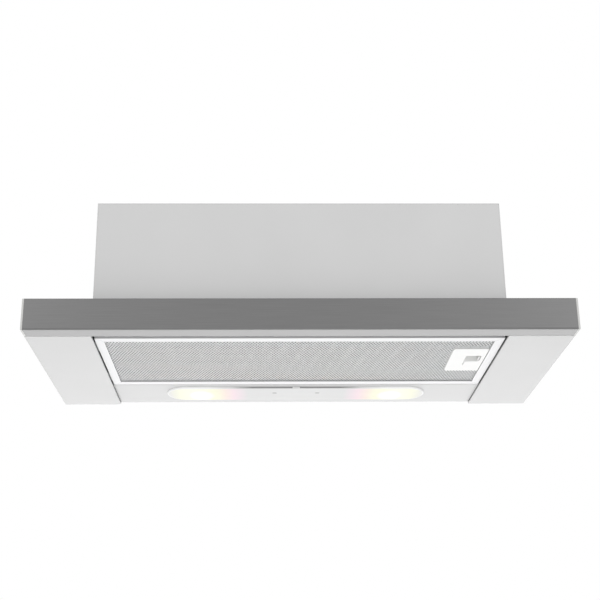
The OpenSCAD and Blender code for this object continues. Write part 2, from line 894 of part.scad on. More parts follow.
function spiral(grow, a0) = [for (i = [0:40]) let (a = a0 - (a0 + 180) * i / 40)
    [(spiral_r(a) + grow) * cos(a), (spiral_r(a) + grow) * sin(a)]];

// Outline of the scroll in the plane across its axle, grown by a wall
module scroll_outline(grow, top) {
    start = acos((mouth_u + grow) / (scroll_r0 + grow));
    polygon(concat(
        [[mouth_u + grow, top]],
        spiral(grow, start),
        [[-scroll_r1 - grow, top]]
    ));
}

module across(x0, x1) {
    translate([x0, axle_y, axle_z]) rotate([90, 0, 90]) linear_extrude(x1 - x0) children();
}

module scroll() {
    x0 = partition;
    x1 = partition + scroll_w;
    top = top_in - axle_z;
    color("dimgray") difference() {
        union() {
            across(x0, x1) scroll_outline(scroll_wall, top);
            // Flange under the top of the box
            block(x0, screw_at + 6, outlet_y - screw_at - 6, outlet_y + screw_at + 6, top_in - 2.5, top_in);
        }
        across(x0 + scroll_wall, x1 - scroll_wall) scroll_outline(0, top + 1);
        rod_x(inlet_r, x1 - scroll_wall - 1, x1 + 1, axle_y, axle_z);
        collar_screw_cuts(top_in - 4, top_in + 1);
    }
}

module motor_bracket() {
    x0 = partition + scroll_w;
    x1 = motor_x0;
    post_r = 3;
    arm_r = inlet_r + post_r + 0.5;
    hub_r = 14;
    arm_w = 8;
    color("silver") difference() {
        union() {
            // Ring round the inlet
            rod_x(arm_r + post_r + 1, x0, x0 + bracket_t, axle_y, axle_z);
            for (a = [90, 210, 330]) {
                translate([x0, axle_y, axle_z]) rotate([a, 0, 0]) {
                    translate([0, arm_r, 0]) rotate([0, 90, 0]) cylinder(r = post_r, h = x1 - x0, $fn = 32);
                    translate([x1 - x0 - bracket_t, 0, -arm_w / 2]) cube([bracket_t, arm_r, arm_w]);
                }
            }
            rod_x(hub_r, x1 - bracket_t, x1, axle_y, axle_z);
        }
        rod_x(inlet_r, x0 - 1, x1 - bracket_t, axle_y, axle_z);
        rod_x(shaft_r + 2, x1 - bracket_t - 1, x1 + 1, axle_y, axle_z);
    }
}

module motor() {
    x0 = motor_x0;
    x1 = motor_x0 + motor_l;
    mid = (x0 + x1) / 2;
    color("darkgray") difference() {
        union() {
            rod_x(motor_r, x0, x1, axle_y, axle_z);
            // Lamination stack with its coil beside it
            block(mid - 10, mid + 10, axle_y - stack_w / 2, axle_y + stack_w / 2,
                axle_z - stack_w / 2, axle_z + stack_w / 2);
            block(mid - 16, mid + 16, axle_y - 12, axle_y + 12,
                axle_z - stack_w / 2 - 6, axle_z - motor_r + 4);
        }
        rod_x(shaft_r + shaft_clear, x0 - 1, shaft_end + 1, axle_y, axle_z);
    }
}

// A forward-curved blade: a thin arc between two radii
module blade() {
    r_in = impeller_r - blade_depth;
    bow = blade_depth * 0.8;
    n = 4;
    outer = [for (i = [0:n]) [r_in + blade_depth * i / n - eps, bow * pow(i / n, 2) * 0.5]];
    inner = [for (i = [n:-1:0]) [r_in + blade_depth * i / n - eps, bow * pow(i / n, 2) * 0.5 - blade_t]];
    polygon(concat(outer, inner));
}

module impeller() {
    x0 = impeller_x0;
    x1 = impeller_x0 + impeller_w;
    ring_t = 2;
    color("gray") difference() {
        union() {
            rod_x(impeller_r, x0, x0 + ring_t, axle_y, axle_z);
            rod_x(impeller_r, x1 - ring_t, x1, axle_y, axle_z);
            across(x0 + ring_t - eps, x1 - ring_t + eps) {
                for (i = [0:blades - 1]) {
                    rotate([0, 0, 360 * i / blades]) intersection() {
                        blade();
                        circle(r = impeller_r - 0.2);
                    }
                }
            }
            rod_x(shaft_r + 4, x0, x0 + impeller_w / 2, axle_y, axle_z);
            rod_x(shaft_r, x0 + 4, shaft_end, axle_y, axle_z);
        }
        difference() {
            rod_x(impeller_r - blade_depth - 0.5, x1 - ring_t - 1, x1 + 1, axle_y, axle_z);
            rod_x(shaft_r, x1 - ring_t - 2, x1 + 2, axle_y, axle_z);
        }
    }
}

// Outlet

module outlet_collar() {
    color("whitesmoke") difference() {
        union() {
            rod_z(flange_r, body_h, body_h + flange_t, 0, outlet_y, 96);
            difference() {
                rod_z(collar_r, body_h + eps, body_h + flange_t + collar_h - 2, 0, outlet_y, 96);
                rod_z(collar_in, body_h + flange_t, body_h + flange_t + collar_h, 0, outlet_y, 96);
            }
            // Ledge that the flaps close on
            rod_z(collar_in + eps, body_h + eps, ledge_top, 0, outlet_y, 96);
        }
        rod_z(collar_in - ledge_w, body_h - 1, ledge_top + 1, 0, outlet_y, 96);
        collar_screw_cuts(body_h - 1, body_h + flange_t + 1);
        for (sx = [-1, 1], sy = [-1, 1]) {
            rod_x(flap_pin_r + flap_pin_clear, min(sx * (collar_in - 2), sx * (collar_r - 0.7)),
                max(sx * (collar_in - 2), sx * (collar_r - 0.7)), outlet_y + sy * flap_y, flap_z);
        }
    }
    // Cross bar that closes the gap between the flaps
    color("whitesmoke") block(-collar_in + 2, collar_in - 2, outlet_y - 1, outlet_y + 1,
        body_h + flange_t, ledge_top);
}

// One half of the backdraught flap, towards -Y
module flap() {
    barrel_r = flap_pin_r + 0.9;
    half_bar = sqrt(pow(collar_in - ledge_w, 2) - pow(flap_y + barrel_r, 2)) - 0.4;
    color("gainsboro") {
        translate([0, 0, flap_z - flap_pin_r]) linear_extrude(flap_t) intersection() {
            translate([0, outlet_y]) circle(r = flap_r, $fn = 96);
            translate([-collar_r, outlet_y - collar_r]) square([2 * collar_r, collar_r - flap_y]);
        }
        rod_x(barrel_r, -half_bar, half_bar, outlet_y - flap_y, flap_z);
        rod_x(flap_pin_r, -collar_r + 1, collar_r - 1, outlet_y - flap_y, flap_z);
    }
}

module flap_front() {
    flap();
}

module flap_rear() {
    translate([0, 2 * outlet_y, 0]) mirror([0, 1, 0]) flap();
}

module collar_screws() {
    z1 = body_h + flange_t;
    color("silver") for (sx = [-1, 1], sy = [-1, 1]) {
        rod_z(head_r, z1, z1 + head_h, sx * screw_at, outlet_y + sy * screw_at);
        rod_z(screw_r, top_in - 5, z1 + eps, sx * screw_at, outlet_y + sy * screw_at);
    }
}

// Electrics

module junction_box() {
    z1 = top_in;
    z0 = z1 - box_h;
    h = box_w / 2;
    color("dimgray") difference() {
        block(box_x - h, box_x + h, box_y - h, box_y + h, z0, z1);
        block(box_x - h + box_wall, box_x + h - box_wall, box_y - h + box_wall, box_y + h - box_wall,
            z0 - 1, z1 - box_wall);
        rod_z(gland_hole_r, z1 - box_wall - 1, z1 + 1, box_x, box_y);
        // Way out for the wires to the motors
        rod_x(4, box_x - h - 1, box_x - h + box_wall + 1, box_y, z0 + 12);
    }
}

module junction_lid() {
    z1 = top_in - box_h;
    h = box_w / 2;
    color("gray") {
        block(box_x - h, box_x + h, box_y - h, box_y + h, z1 - 2, z1);
        difference() {
            block(box_x - h + box_wall + seat, box_x + h - box_wall - seat,
                box_y - h + box_wall + seat, box_y + h - box_wall - seat, z1 - eps, z1 + 3);
            block(box_x - h + box_wall + 2, box_x + h - box_wall - 2,
                box_y - h + box_wall + 2, box_y + h - box_wall - 2, z1, z1 + 4);
        }
    }
}

module terminal_block() {
    z0 = top_in - box_h;
    color("white") difference() {
        block(box_x - 18, box_x + 18, box_y - 8, box_y + 8, z0, z0 + 12);
        for (i = [-1:1]) {
            rod_y(2.2, box_y - 9, box_y + 9, box_x + i * 11, z0 + 5);
            rod_z(1.8, z0 + 5, z0 + 13, box_x + i * 11, box_y);
        }
    }
}

module cable_gland() {
    color("dimgray") difference() {
        union() {
            rod_z(gland_r, top_in - 8, body_h + eps, box_x, box_y);
            rod_z(gland_hex_r, body_h, body_h + 5, box_x, box_y, 6);
            rod_z(gland_cap_r, body_h + 5 - eps, body_h + 14, box_x, box_y);
        }
        rod_z(cable_r, top_in - 9, body_h + 15, box_x, box_y);
    }
}

module gland_nut() {
    z1 = top_in - box_wall;
    color("gray") difference() {
        rod_z(gland_hex_r, z1 - 4, z1, box_x, box_y, 6);
        rod_z(gland_r + seat, z1 - 5, z1 + 1, box_x, box_y);
    }
}

// Drawer

module fascia_profile(grow) {
    // Seen from the side: X is the depth and Y the height
    r = fascia_bend - grow;
    d = fascia_d - fascia_gap;
    difference() {
        translate([grow, grow]) {
            translate([r, 0]) square([d - r + grow, fascia_h - 2 * grow]);
            translate([0, r]) square([r + eps, fascia_h - 2 * grow - 2 * r]);
            for (y = [r, fascia_h - 2 * grow - r]) {
                translate([r, y]) circle(r = r, $fn = 32);
            }
        }
        translate([d, -1]) square([grow + 2, fascia_h + 2]);
    }
}

module along_x(x0, x1) {
    translate([x0, front_y, 0]) rotate([90, 0, 90]) linear_extrude(x1 - x0) children();
}

module fascia() {
    d = fascia_d - fascia_gap;
    half = half_w - cap_t;
    color("gray") {
        along_x(-half, half) difference() {
            fascia_profile(0);
            translate([0, 0]) fascia_profile(sheet);
            translate([d - sheet, sheet]) square([sheet + 1, fascia_h - 2 * sheet]);
        }
        // Lip folded up at the rear of the underside
        block(-half, half, front_y + d - sheet, front_y + d, sheet - eps, sheet + fascia_lip);
        // Studs for the nuts
        for (x = stud_xs()) {
            rod_y(stud_r, front_y + sheet - eps, front_y + 9, x, stud_z);
        }
    }
}

function stud_xs() = [for (k = [-1, -0.3, 0.3, 1]) k * stud_out];

module end_cap() {
    d = fascia_d - fascia_gap;
    half = half_w - cap_t;
    plug_wall = 1.5;
    color("darkgray") {
        along_x(half, half_w) fascia_profile(0);
        // Hollow plug inside the fascia
        difference() {
            block(half - cap_plug, half + eps, front_y + sheet + fascia_bend, front_y + d - sheet - 0.5,
                sheet, fascia_h - sheet);
            block(half - cap_plug - 1, half, front_y + sheet + fascia_bend + plug_wall,
                front_y + d - sheet - 0.5 - plug_wall, sheet + plug_wall, fascia_h - sheet - plug_wall);
        }
    }
}

// A lip folded down from the frame's side
module lip(x0, x1, y, half, low) {
    block(x0, x1 + lip_t, y - half, y + half, filter_top, plate_z1);
    block(x1, x1 + lip_t, y - half, y + half, low, filter_top + eps);
}

module drawer_frame() {
    flange_y0 = front_y + sheet;
    flange_y1 = wall_y - fascia_gap - sheet - 0.4;
    rail_top = filter_top + rail_h;
    lip_x0 = filter_half + 0.2;
    lip_low = filter_z + 1;
    color("silver") difference() {
        union() {
            // Front plate and upright flange behind the fascia
            block(-flange_half, flange_half, flange_y0, flange_y1, filter_top, plate_z1);
            block(-flange_half, flange_half, flange_y0, flange_y0 + frame_t,
                filter_top, fascia_h - sheet - 1);
            // Flat frame over the filter
            block(-neck_half, neck_half, flange_y1 - 1, rail_y1, filter_top, plate_z1);
            for (s = [0, 1]) {
                mirror([s, 0, 0]) {
                    block(rail_x0, rail_x1, runner_y0, rail_y1, filter_top, rail_top);
                    block(tab_x0, rail_x1, rail_y1 - frame_t, rail_y1, plate_z1 + 1, rail_top);
                }
            }
            // Lips that take the latch on the right and the hooks on the left
            lip(neck_half - 1, lip_x0, pocket_ym, latch_lip, lip_low);
            left_hand() for (y = [filter_y0 + hook_from_end, filter_y1 - hook_from_end]) {
                lip(neck_half - 1, lip_x0, y, hook_lip, lip_low);
            }
        }
        block(-frame_open_x, frame_open_x, frame_open_y0, frame_open_y1, filter_top - 1, plate_z1 + 1);
        tongue_slot(lip_x0 - 1, lip_x0 + lip_t + 1, filter_z);
        left_hand() hook_slots(lip_x0 - 1, lip_x0 + lip_t + 1, filter_z);
        for (x = stud_xs()) {
            rod_y(stud_r + 0.2, flange_y0 - 1, flange_y0 + frame_t + 1, x, stud_z);
        }
    }
}

module fascia_nuts() {
    y0 = front_y + sheet + frame_t;
    color("silver") for (x = stud_xs()) {
        difference() {
            rod_y(stud_r * 2, y0, y0 + 3, x, stud_z, 6);
            rod_y(stud_r + seat, y0 - 1, y0 + 4, x, stud_z);
        }
    }
}

housing_top();
housing_front();
housing_rear();
left_hand() housing_side();  // housing_side_left
housing_side();  // housing_side_right
left_hand() side_strip();  // side_strip_left
side_strip();  // side_strip_right
filter_well();
filter_frame(fixed_half, fixed_z, fixed_reach);  // fixed_filter_frame
filter_mesh(fixed_half, fixed_z);  // fixed_filter_mesh
filter_pack(fixed_half, fixed_z);  // fixed_filter_pack
latch_housing(fixed_half, fixed_z);  // fixed_latch_housing
lamp_panel();
lamp_cover();
left_hand() lamp_holder();  // lamp_holder_left
lamp_holder();  // lamp_holder_right
left_hand() bulb();  // bulb_left
bulb();  // bulb_right
left_hand() runner_outer();  // runner_outer_left
runner_outer();  // runner_outer_right
switch_bezel();
fan_switch();
light_switch();
drawer_switch();
left_hand() scroll();  // scroll_left
scroll();  // scroll_right
left_hand() motor();  // motor_left
motor();  // motor_right
left_hand() motor_bracket();  // motor_bracket_left
motor_bracket();  // motor_bracket_right
outlet_collar();
junction_box();
junction_lid();
terminal_block();
cable_gland();
gland_nut();
collar_screws();
side_screws();
fascia();
left_hand() end_cap();  // end_cap_left
end_cap();  // end_cap_right
drawer_frame();
fascia_nuts();
left_hand() runner_inner();  // runner_inner_left
runner_inner();  // runner_inner_right
filter_frame(filter_half, filter_z, drawer_reach);  // drawer_filter_frame
filter_mesh(filter_half, filter_z);  // drawer_filter_mesh
filter_pack(filter_half, filter_z);  // drawer_filter_pack
latch_housing(filter_half, filter_z);  // drawer_latch_housing
left_hand() runner_middle();  // runner_middle_left
runner_middle();  // runner_middle_right
latch_slide(filter_half, filter_z, drawer_reach);  // drawer_latch
latch_slide(fixed_half, fixed_z, fixed_reach);  // fixed_latch
fan_knob();
light_knob();
switch_plunger();
left_hand() impeller();  // impeller_left
impeller();  // impeller_right
flap_front();
flap_rear();
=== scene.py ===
# %% [markdown]
# # The looks of a slide-out range hood
# The hood hangs under a wall cabinet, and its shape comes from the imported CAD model. This script loads
# that model as a fixed frame. It paints each piece for the real material, and makes in mesh what is too
# fine for the CAD: the expanded aluminium of the filters, the rounded lamp cover and the screw heads.

# %% Load the frame
import math

import bmesh
import bpy
from mathutils import Matrix, Vector


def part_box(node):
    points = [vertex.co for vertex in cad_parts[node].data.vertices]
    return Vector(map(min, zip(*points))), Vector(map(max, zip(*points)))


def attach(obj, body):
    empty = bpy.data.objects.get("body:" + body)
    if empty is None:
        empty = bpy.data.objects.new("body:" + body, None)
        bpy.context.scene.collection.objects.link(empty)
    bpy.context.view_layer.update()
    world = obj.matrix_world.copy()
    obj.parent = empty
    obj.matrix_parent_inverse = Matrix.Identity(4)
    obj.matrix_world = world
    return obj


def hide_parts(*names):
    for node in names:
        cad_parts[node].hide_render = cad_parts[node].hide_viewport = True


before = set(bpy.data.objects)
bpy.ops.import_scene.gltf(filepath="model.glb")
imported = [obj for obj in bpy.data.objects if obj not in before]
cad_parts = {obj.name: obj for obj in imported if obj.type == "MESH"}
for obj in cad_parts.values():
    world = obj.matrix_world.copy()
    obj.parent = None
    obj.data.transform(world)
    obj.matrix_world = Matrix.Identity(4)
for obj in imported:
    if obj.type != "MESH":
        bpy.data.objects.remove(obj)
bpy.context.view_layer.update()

MM = 0.001


# %% [markdown]
# ## Small helpers
# A colour is written as its sRGB hex code, as one would read it off a paint chart, and turned into the
# linear numbers that the renderer works in. One function adds every node, so that a material or a
# geometry tree reads as a list of what is in it. Three short ones on top of it do sums in a tree, put a
# vector together and take one apart.

# %% Helpers
def srgb(code):
    """The linear colour of an sRGB hex code."""
    parts = [int(code[i:i + 2], 16) / 255 for i in (1, 3, 5)]
    linear = [p / 12.92 if p <= 0.04045 else ((p + 0.055) / 1.055) ** 2.4 for p in parts]
    return (*linear, 1.0)


def add(tree, kind, inputs=None, **settings):
    """Adds a node, sets it up, and fills or links its inputs."""
    node = tree.nodes.new(kind)
    for key, value in settings.items():
        setattr(node, key, value)
    for key, value in (inputs or {}).items():
        if isinstance(value, bpy.types.NodeSocket):
            tree.links.new(value, node.inputs[key])
        else:
            node.inputs[key].default_value = value
    return node


def calc(tree, operation, *values):
    return add(tree, "ShaderNodeMath", dict(enumerate(values)), operation=operation).outputs[0]


def vector(tree, x=0.0, y=0.0, z=0.0):
    return add(tree, "ShaderNodeCombineXYZ", {"X": x, "Y": y, "Z": z}).outputs[0]


def axes_of(tree, value):
    """The X, Y and Z of a vector, as sockets."""
    return add(tree, "ShaderNodeSeparateXYZ", {"Vector": value}).outputs


def box_of(node):
    """The corners of a CAD node in millimetres."""
    low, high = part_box(node)
    return [v / MM for v in low], [v / MM for v in high]


print("a mid grey is", [round(v, 3) for v in srgb("#808080")[:3]])


# %% [markdown]
# ## Building blocks of the materials
# Every finish is made from a few steps: a place on the piece in object coordinates, a pattern whose
# size is given in millimetres, and a colour, roughness or tiny height that follows it. The CAD pieces
# have their place in their vertices, so object coordinates are the same for all of them and a brushed
# line runs on from one piece to the next.

# %% Material steps
def material(name):
    made = bpy.data.materials.new(name)
    made.use_nodes = True
    return made, made.node_tree, made.node_tree.nodes["Principled BSDF"]


def place(tree):
    return add(tree, "ShaderNodeTexCoord").outputs["Object"]


def pattern(tree, size, detail=3.0, rough=0.5):
    """Noise from 0 to 1 whose grains measure size = (x, y, z) in millimetres."""
    scaled = add(tree, "ShaderNodeMapping", {"Vector": place(tree),
                                             "Scale": [1 / (v * MM) for v in size]})
    grain = add(tree, "ShaderNodeTexNoise", {"Vector": scaled.outputs["Vector"], "Scale": 1.0,
                                             "Detail": detail, "Roughness": rough})
    return grain.outputs["Fac"]


def span(tree, value, low, high, to_low, to_high):
    """value from low..high brought to to_low..to_high, and held there outside."""
    return add(tree, "ShaderNodeMapRange", {"Value": value, "From Min": low, "From Max": high,
                                            "To Min": to_low, "To Max": to_high}).outputs["Result"]


def between(tree, factor, first, second):
    """A colour between two, where factor 0 is the first."""
    mixed = add(tree, "ShaderNodeMix", data_type="RGBA")
    tree.links.new(factor, mixed.inputs[0])
    for socket, value in ((mixed.inputs[6], first), (mixed.inputs[7], second)):
        if isinstance(value, bpy.types.NodeSocket):
            tree.links.new(value, socket)
        else:
            socket.default_value = value
    return mixed.outputs[2]


def relief(tree, height, depth, edge=0.0):
    """A normal that follows height, whose full range is depth mm, over edges rounded by edge mm."""
    inputs = {"Height": height, "Distance": depth * MM, "Strength": 1.0}
    if edge:
        rounded = add(tree, "ShaderNodeBevel", {"Radius": edge * MM}, samples=4)
        inputs["Normal"] = rounded.outputs["Normal"]
    return add(tree, "ShaderNodeBump", inputs).outputs["Normal"]


def finish(tree, shader, **sockets):
    """Fills the shader's own sockets, by name with _ for a space."""
    for name, value in sockets.items():
        socket = shader.inputs[name.replace("_", " ")]
        if isinstance(value, bpy.types.NodeSocket):
            tree.links.new(value, socket)
        else:
            socket.default_value = value


print("steps ready")


# %% [markdown]
# ## Steel
# The fascia is stainless sheet, ground with a belt along its length. The belt leaves scratches some
# centimetres long and a fraction of a millimetre apart, so the pattern is stretched a few hundred times
# along X. The upper box and the strips are steel with a light grey powder coat, whose skin has a fine
# orange peel. The slots beside the filter are narrow and deep and give no light back, so the faces of
# the strips that look into them are painted nearly black as painted shade, all but the lowest two
# millimetres, where the fold turns into the light. The hidden sheet metal is hot-dip galvanised and shows
# zinc flowers about 10 mm across. The runners are bright zinc-plated, with drawing marks along their
# length.

# %% Steel materials
# The painted shade on the faces in the slots, in mm: how far out from the upper box, from and up to which
# height, and over how much height the painted shade fades in
SLOT_REACH, SLOT_LOW, SLOT_HIGH, SLOT_FADE = 2, 1.8, 12, 0.5


def brushed_steel():
    made, tree, shader = material("stainless_steel_brushed_along_x")
    fine = pattern(tree, (60, 0.35, 0.35), 4.0, 0.6)
    finish(tree, shader, Metallic=1.0,
           Base_Color=between(tree, span(tree, fine, 0.35, 0.65, 0, 1),
                              srgb("#747474"), srgb("#7C7C7C")),
           Roughness=span(tree, fine, 0.3, 0.7, 0.30, 0.42),
           Normal=relief(tree, fine, 0.002, 0.4))
    return made


def powder_coat():
    slot_x = box_of("housing_side_right")[1][0] + SLOT_REACH
    made, tree, shader = material("steel_light_grey_powder_coat")
    peel = pattern(tree, (1.1, 1.1, 1.1), 2.0)
    cloud = pattern(tree, (90, 90, 90), 2.0)
    axes = axes_of(tree, place(tree))
    facing = axes_of(tree, add(tree, "ShaderNodeNewGeometry").outputs["True Normal"])["X"]
    outward = calc(tree, "MULTIPLY", facing, calc(tree, "SIGN", axes["X"]))
    inward = calc(tree, "LESS_THAN", outward, -0.5)
    low = calc(tree, "MULTIPLY",
               span(tree, axes["Z"], SLOT_LOW * MM, (SLOT_LOW + SLOT_FADE) * MM, 0, 1),
               calc(tree, "LESS_THAN", axes["Z"], SLOT_HIGH * MM))
    beside = calc(tree, "LESS_THAN", calc(tree, "ABSOLUTE", axes["X"]), slot_x * MM)
    # Painted shade: the low inward faces beside the slots get near-black #1C1C1C in place of the coat
    mitre_line_and_slot_shade = calc(tree, "MULTIPLY", calc(tree, "MULTIPLY", inward, low), beside)
    coat = between(tree, cloud, srgb("#C0C0C0"), srgb("#C6C6C6"))
    finish(tree, shader, Specular_IOR_Level=0.4,
           Base_Color=between(tree, mitre_line_and_slot_shade, coat, srgb("#1C1C1C")),
           Roughness=span(tree, peel, 0.3, 0.7, 0.42, 0.52),
           Normal=relief(tree, peel, 0.015, 0.4))
    return made


def galvanised():
    made, tree, shader = material("steel_hot_dip_galvanised")
    flower_size = 9 * MM
    cells = add(tree, "ShaderNodeTexVoronoi", {"Vector": place(tree), "Scale": 1 / flower_size})
    flower = add(tree, "ShaderNodeSeparateColor", {"Color": cells.outputs["Color"]}).outputs["Red"]
    grain = pattern(tree, (0.8, 0.8, 0.8))
    finish(tree, shader, Metallic=1.0,
           Base_Color=between(tree, flower, srgb("#A6A9AB"), srgb("#BCBFC0")),
           Roughness=span(tree, flower, 0, 1, 0.38, 0.52),
           Normal=relief(tree, grain, 0.006, 0.3))
    return made


def bright_zinc():
    made, tree, shader = material("steel_bright_zinc_drawn_along_y")
    lines = pattern(tree, (0.4, 70, 0.4), 3.0)
    finish(tree, shader, Metallic=1.0,
           Base_Color=between(tree, lines, srgb("#B7BABD"), srgb("#C9CCCE")),
           Roughness=span(tree, lines, 0.3, 0.7, 0.24, 0.36),
           Normal=relief(tree, lines, 0.004, 0.3))
    return made


def zinc_screw():
    made, tree, shader = material("steel_zinc_plated_screw")
    grain = pattern(tree, (0.5, 0.5, 0.5))
    finish(tree, shader, Metallic=1.0,
           Base_Color=between(tree, grain, srgb("#B9BBBC"), srgb("#CDCFD0")),
           Roughness=span(tree, grain, 0.3, 0.7, 0.25, 0.4),
           Normal=relief(tree, grain, 0.004, 0.2))
    return made


STEEL = {"brushed": brushed_steel(), "coat": powder_coat(), "galvanised": galvanised(),
         "zinc": bright_zinc(), "screw": zinc_screw()}
print("steel:", [m.name for m in STEEL.values()])


# %% [markdown]
# ## Aluminium
# The filter's frame is a folded aluminium strip, anodised to a pale satin, with its corners mitred. The
# four mitre lines are drawn where the distances to the two nearest edges are the same. The expanded
# sheet is bare aluminium. It was slit and pulled open in one stroke, which leaves the strands bright.

# %% Aluminium materials
# How far from the mitre its line is full and gone, in mm
MITRE_FULL, MITRE_GONE = 0.08, 0.3


def anodised(name, frame_node):
    low, high = box_of(frame_node)
    middle = (low[1] + high[1]) / 2
    made, tree, shader = material(name)
    axes = axes_of(tree, place(tree))
    to_side = calc(tree, "SUBTRACT", high[0] * MM, calc(tree, "ABSOLUTE", axes["X"]))
    from_middle = calc(tree, "ABSOLUTE", calc(tree, "SUBTRACT", axes["Y"], middle * MM))
    to_end = calc(tree, "SUBTRACT", (high[1] - middle) * MM, from_middle)
    off_mitre = calc(tree, "ABSOLUTE", calc(tree, "SUBTRACT", to_side, to_end))
    mitre_line_and_slot_shade = span(tree, off_mitre, MITRE_FULL * MM, MITRE_GONE * MM, 1, 0)
    satin = pattern(tree, (0.7, 0.7, 0.7), 4.0)
    plain = between(tree, satin, srgb("#D9D9DA"), srgb("#DFDFE0"))
    finish(tree, shader, Metallic=0.1,
           Base_Color=between(tree, mitre_line_and_slot_shade, plain, srgb("#77787A")),
           Roughness=span(tree, satin, 0.3, 0.7, 0.42, 0.55),
           Normal=relief(tree, satin, 0.006, 0.6))
    return made


def expanded(name, dark, light, metallic):
    made, tree, shader = material(name)
    grain = pattern(tree, (1.6, 1.6, 1.6), 3.0)
    finish(tree, shader, Metallic=metallic,
           Base_Color=between(tree, grain, srgb(dark), srgb(light)),
           Roughness=span(tree, grain, 0.3, 0.7, 0.30, 0.45),
           Normal=relief(tree, grain, 0.01))
    return made


# The layered sheets behind the outer one are the same aluminium, painted darker as painted shade, since
# they lie behind it
ALUMINIUM = {"drawer_frame": anodised("aluminium_satin_anodised_visible_filter", "drawer_filter_frame"),
             "fixed_frame": anodised("aluminium_satin_anodised_upper_filter", "fixed_filter_frame"),
             "mesh": expanded("aluminium_bright_expanded_sheet", "#F2F3F4", "#FAFBFB", 0.25),
             "pack": expanded("aluminium_layered_sheets_painted_shade", "#A0A1A3", "#B6B7B9", 0.5)}
print("aluminium:", [m.name for m in ALUMINIUM.values()])


# %% [markdown]
# ## Plastics
# The latch housings, the collar and its flaps are white polypropylene, moulded with a fine spark-eroded
# grain. The end caps, latches and knobs are grey ABS with the same grain, and the blowers and switches
# black polypropylene with a coarser one. The switch plunger is red acetal. All are coloured through, so
# only the grain and a slight cloudiness show.

# %% Plastic materials
def moulded(name, dark, light, grain_size, rough, depth=0.012):
    made, tree, shader = material(name)
    grain = pattern(tree, (grain_size,) * 3, 3.0)
    cloud = pattern(tree, (30, 30, 30), 2.0)
    finish(tree, shader,
           Base_Color=between(tree, cloud, srgb(dark), srgb(light)),
           Roughness=span(tree, grain, 0.3, 0.7, rough, rough + 0.12),
           Normal=relief(tree, grain, depth, 0.35))
    return made


PLASTIC = {"white": moulded("polypropylene_white_fine_grain", "#E8E8E7", "#EDEDEC", 0.4, 0.5),
           "grey": moulded("abs_mid_grey_fine_grain", "#B9B9B7", "#C3C3C1", 0.4, 0.38),
           "black": moulded("polypropylene_black_coarse_grain", "#1E1F21", "#2A2B2D", 0.8, 0.45, 0.02),
           "red": moulded("acetal_red_switch_plunger", "#A8312B", "#B63A33", 0.5, 0.3)}
print("plastics:", [m.name for m in PLASTIC.values()])


# %% [markdown]
# ## Lamps
# Two frosted lamps burn behind an opal cover, one near each end. The cover is moulded in milky
# polycarbonate that spreads the light. It is white-hot just below each lamp. Further off it goes through
# pale yellow and peach, and between the lamps it is an unlit grey. The glow is worked out from the
# distance to the nearer lamp in object coordinates, and so is the painted light and shade in the colour
# of the low wall round it: light that runs inside the plastic comes out there near the lamps, and the
# middle is painted darker. The rounded rim gathers that light too. Round each end, which itself is paler,
# it is a thin white line. The small tab at the front is painted lighter than the wall, a painted
# highlight.

# %% Lamp materials
# The cover and its two moulding marks, in mm. "rear" is toward the rear from the lamps.
COVER_DEPTH, COVER_TAB = 50.0, 9.0
PIN_MARK = {"x": 27.0, "rear": -5.0, "radius": 3.0, "height": 0.12}
# The glow, in mm: its centre out from the lamp, its reach, and where the painted light on the low wall
# and the glow of the rim fade out. "flatten" says how much the cover's depth counts.
GLOW = {"out": 10, "flatten": 0.4, "reach": 80, "wall": (50, 75), "rim": (20, 60), "rim_light": 0.25}
CORE = {"rear": 6, "flatten": 0.8, "span": (5, 17), "light": 0.4}
# The rim line and the pale ends, in mm in from the outline
RIM_LINE, PALE_END, END_SHARE = (2.4, 1.4), (17, 4), 0.85
GLOW_STOPS = [(0.0, "#FFFFF6"), (0.15, "#FFFFF0"), (0.32, "#FFFFE6"), (0.4, "#FEFBE4"),
              (0.5, "#FDF0E6"), (0.63, "#FBE9EE"), (0.74, "#F2E8EC"), (0.86, "#E8E8E8")]


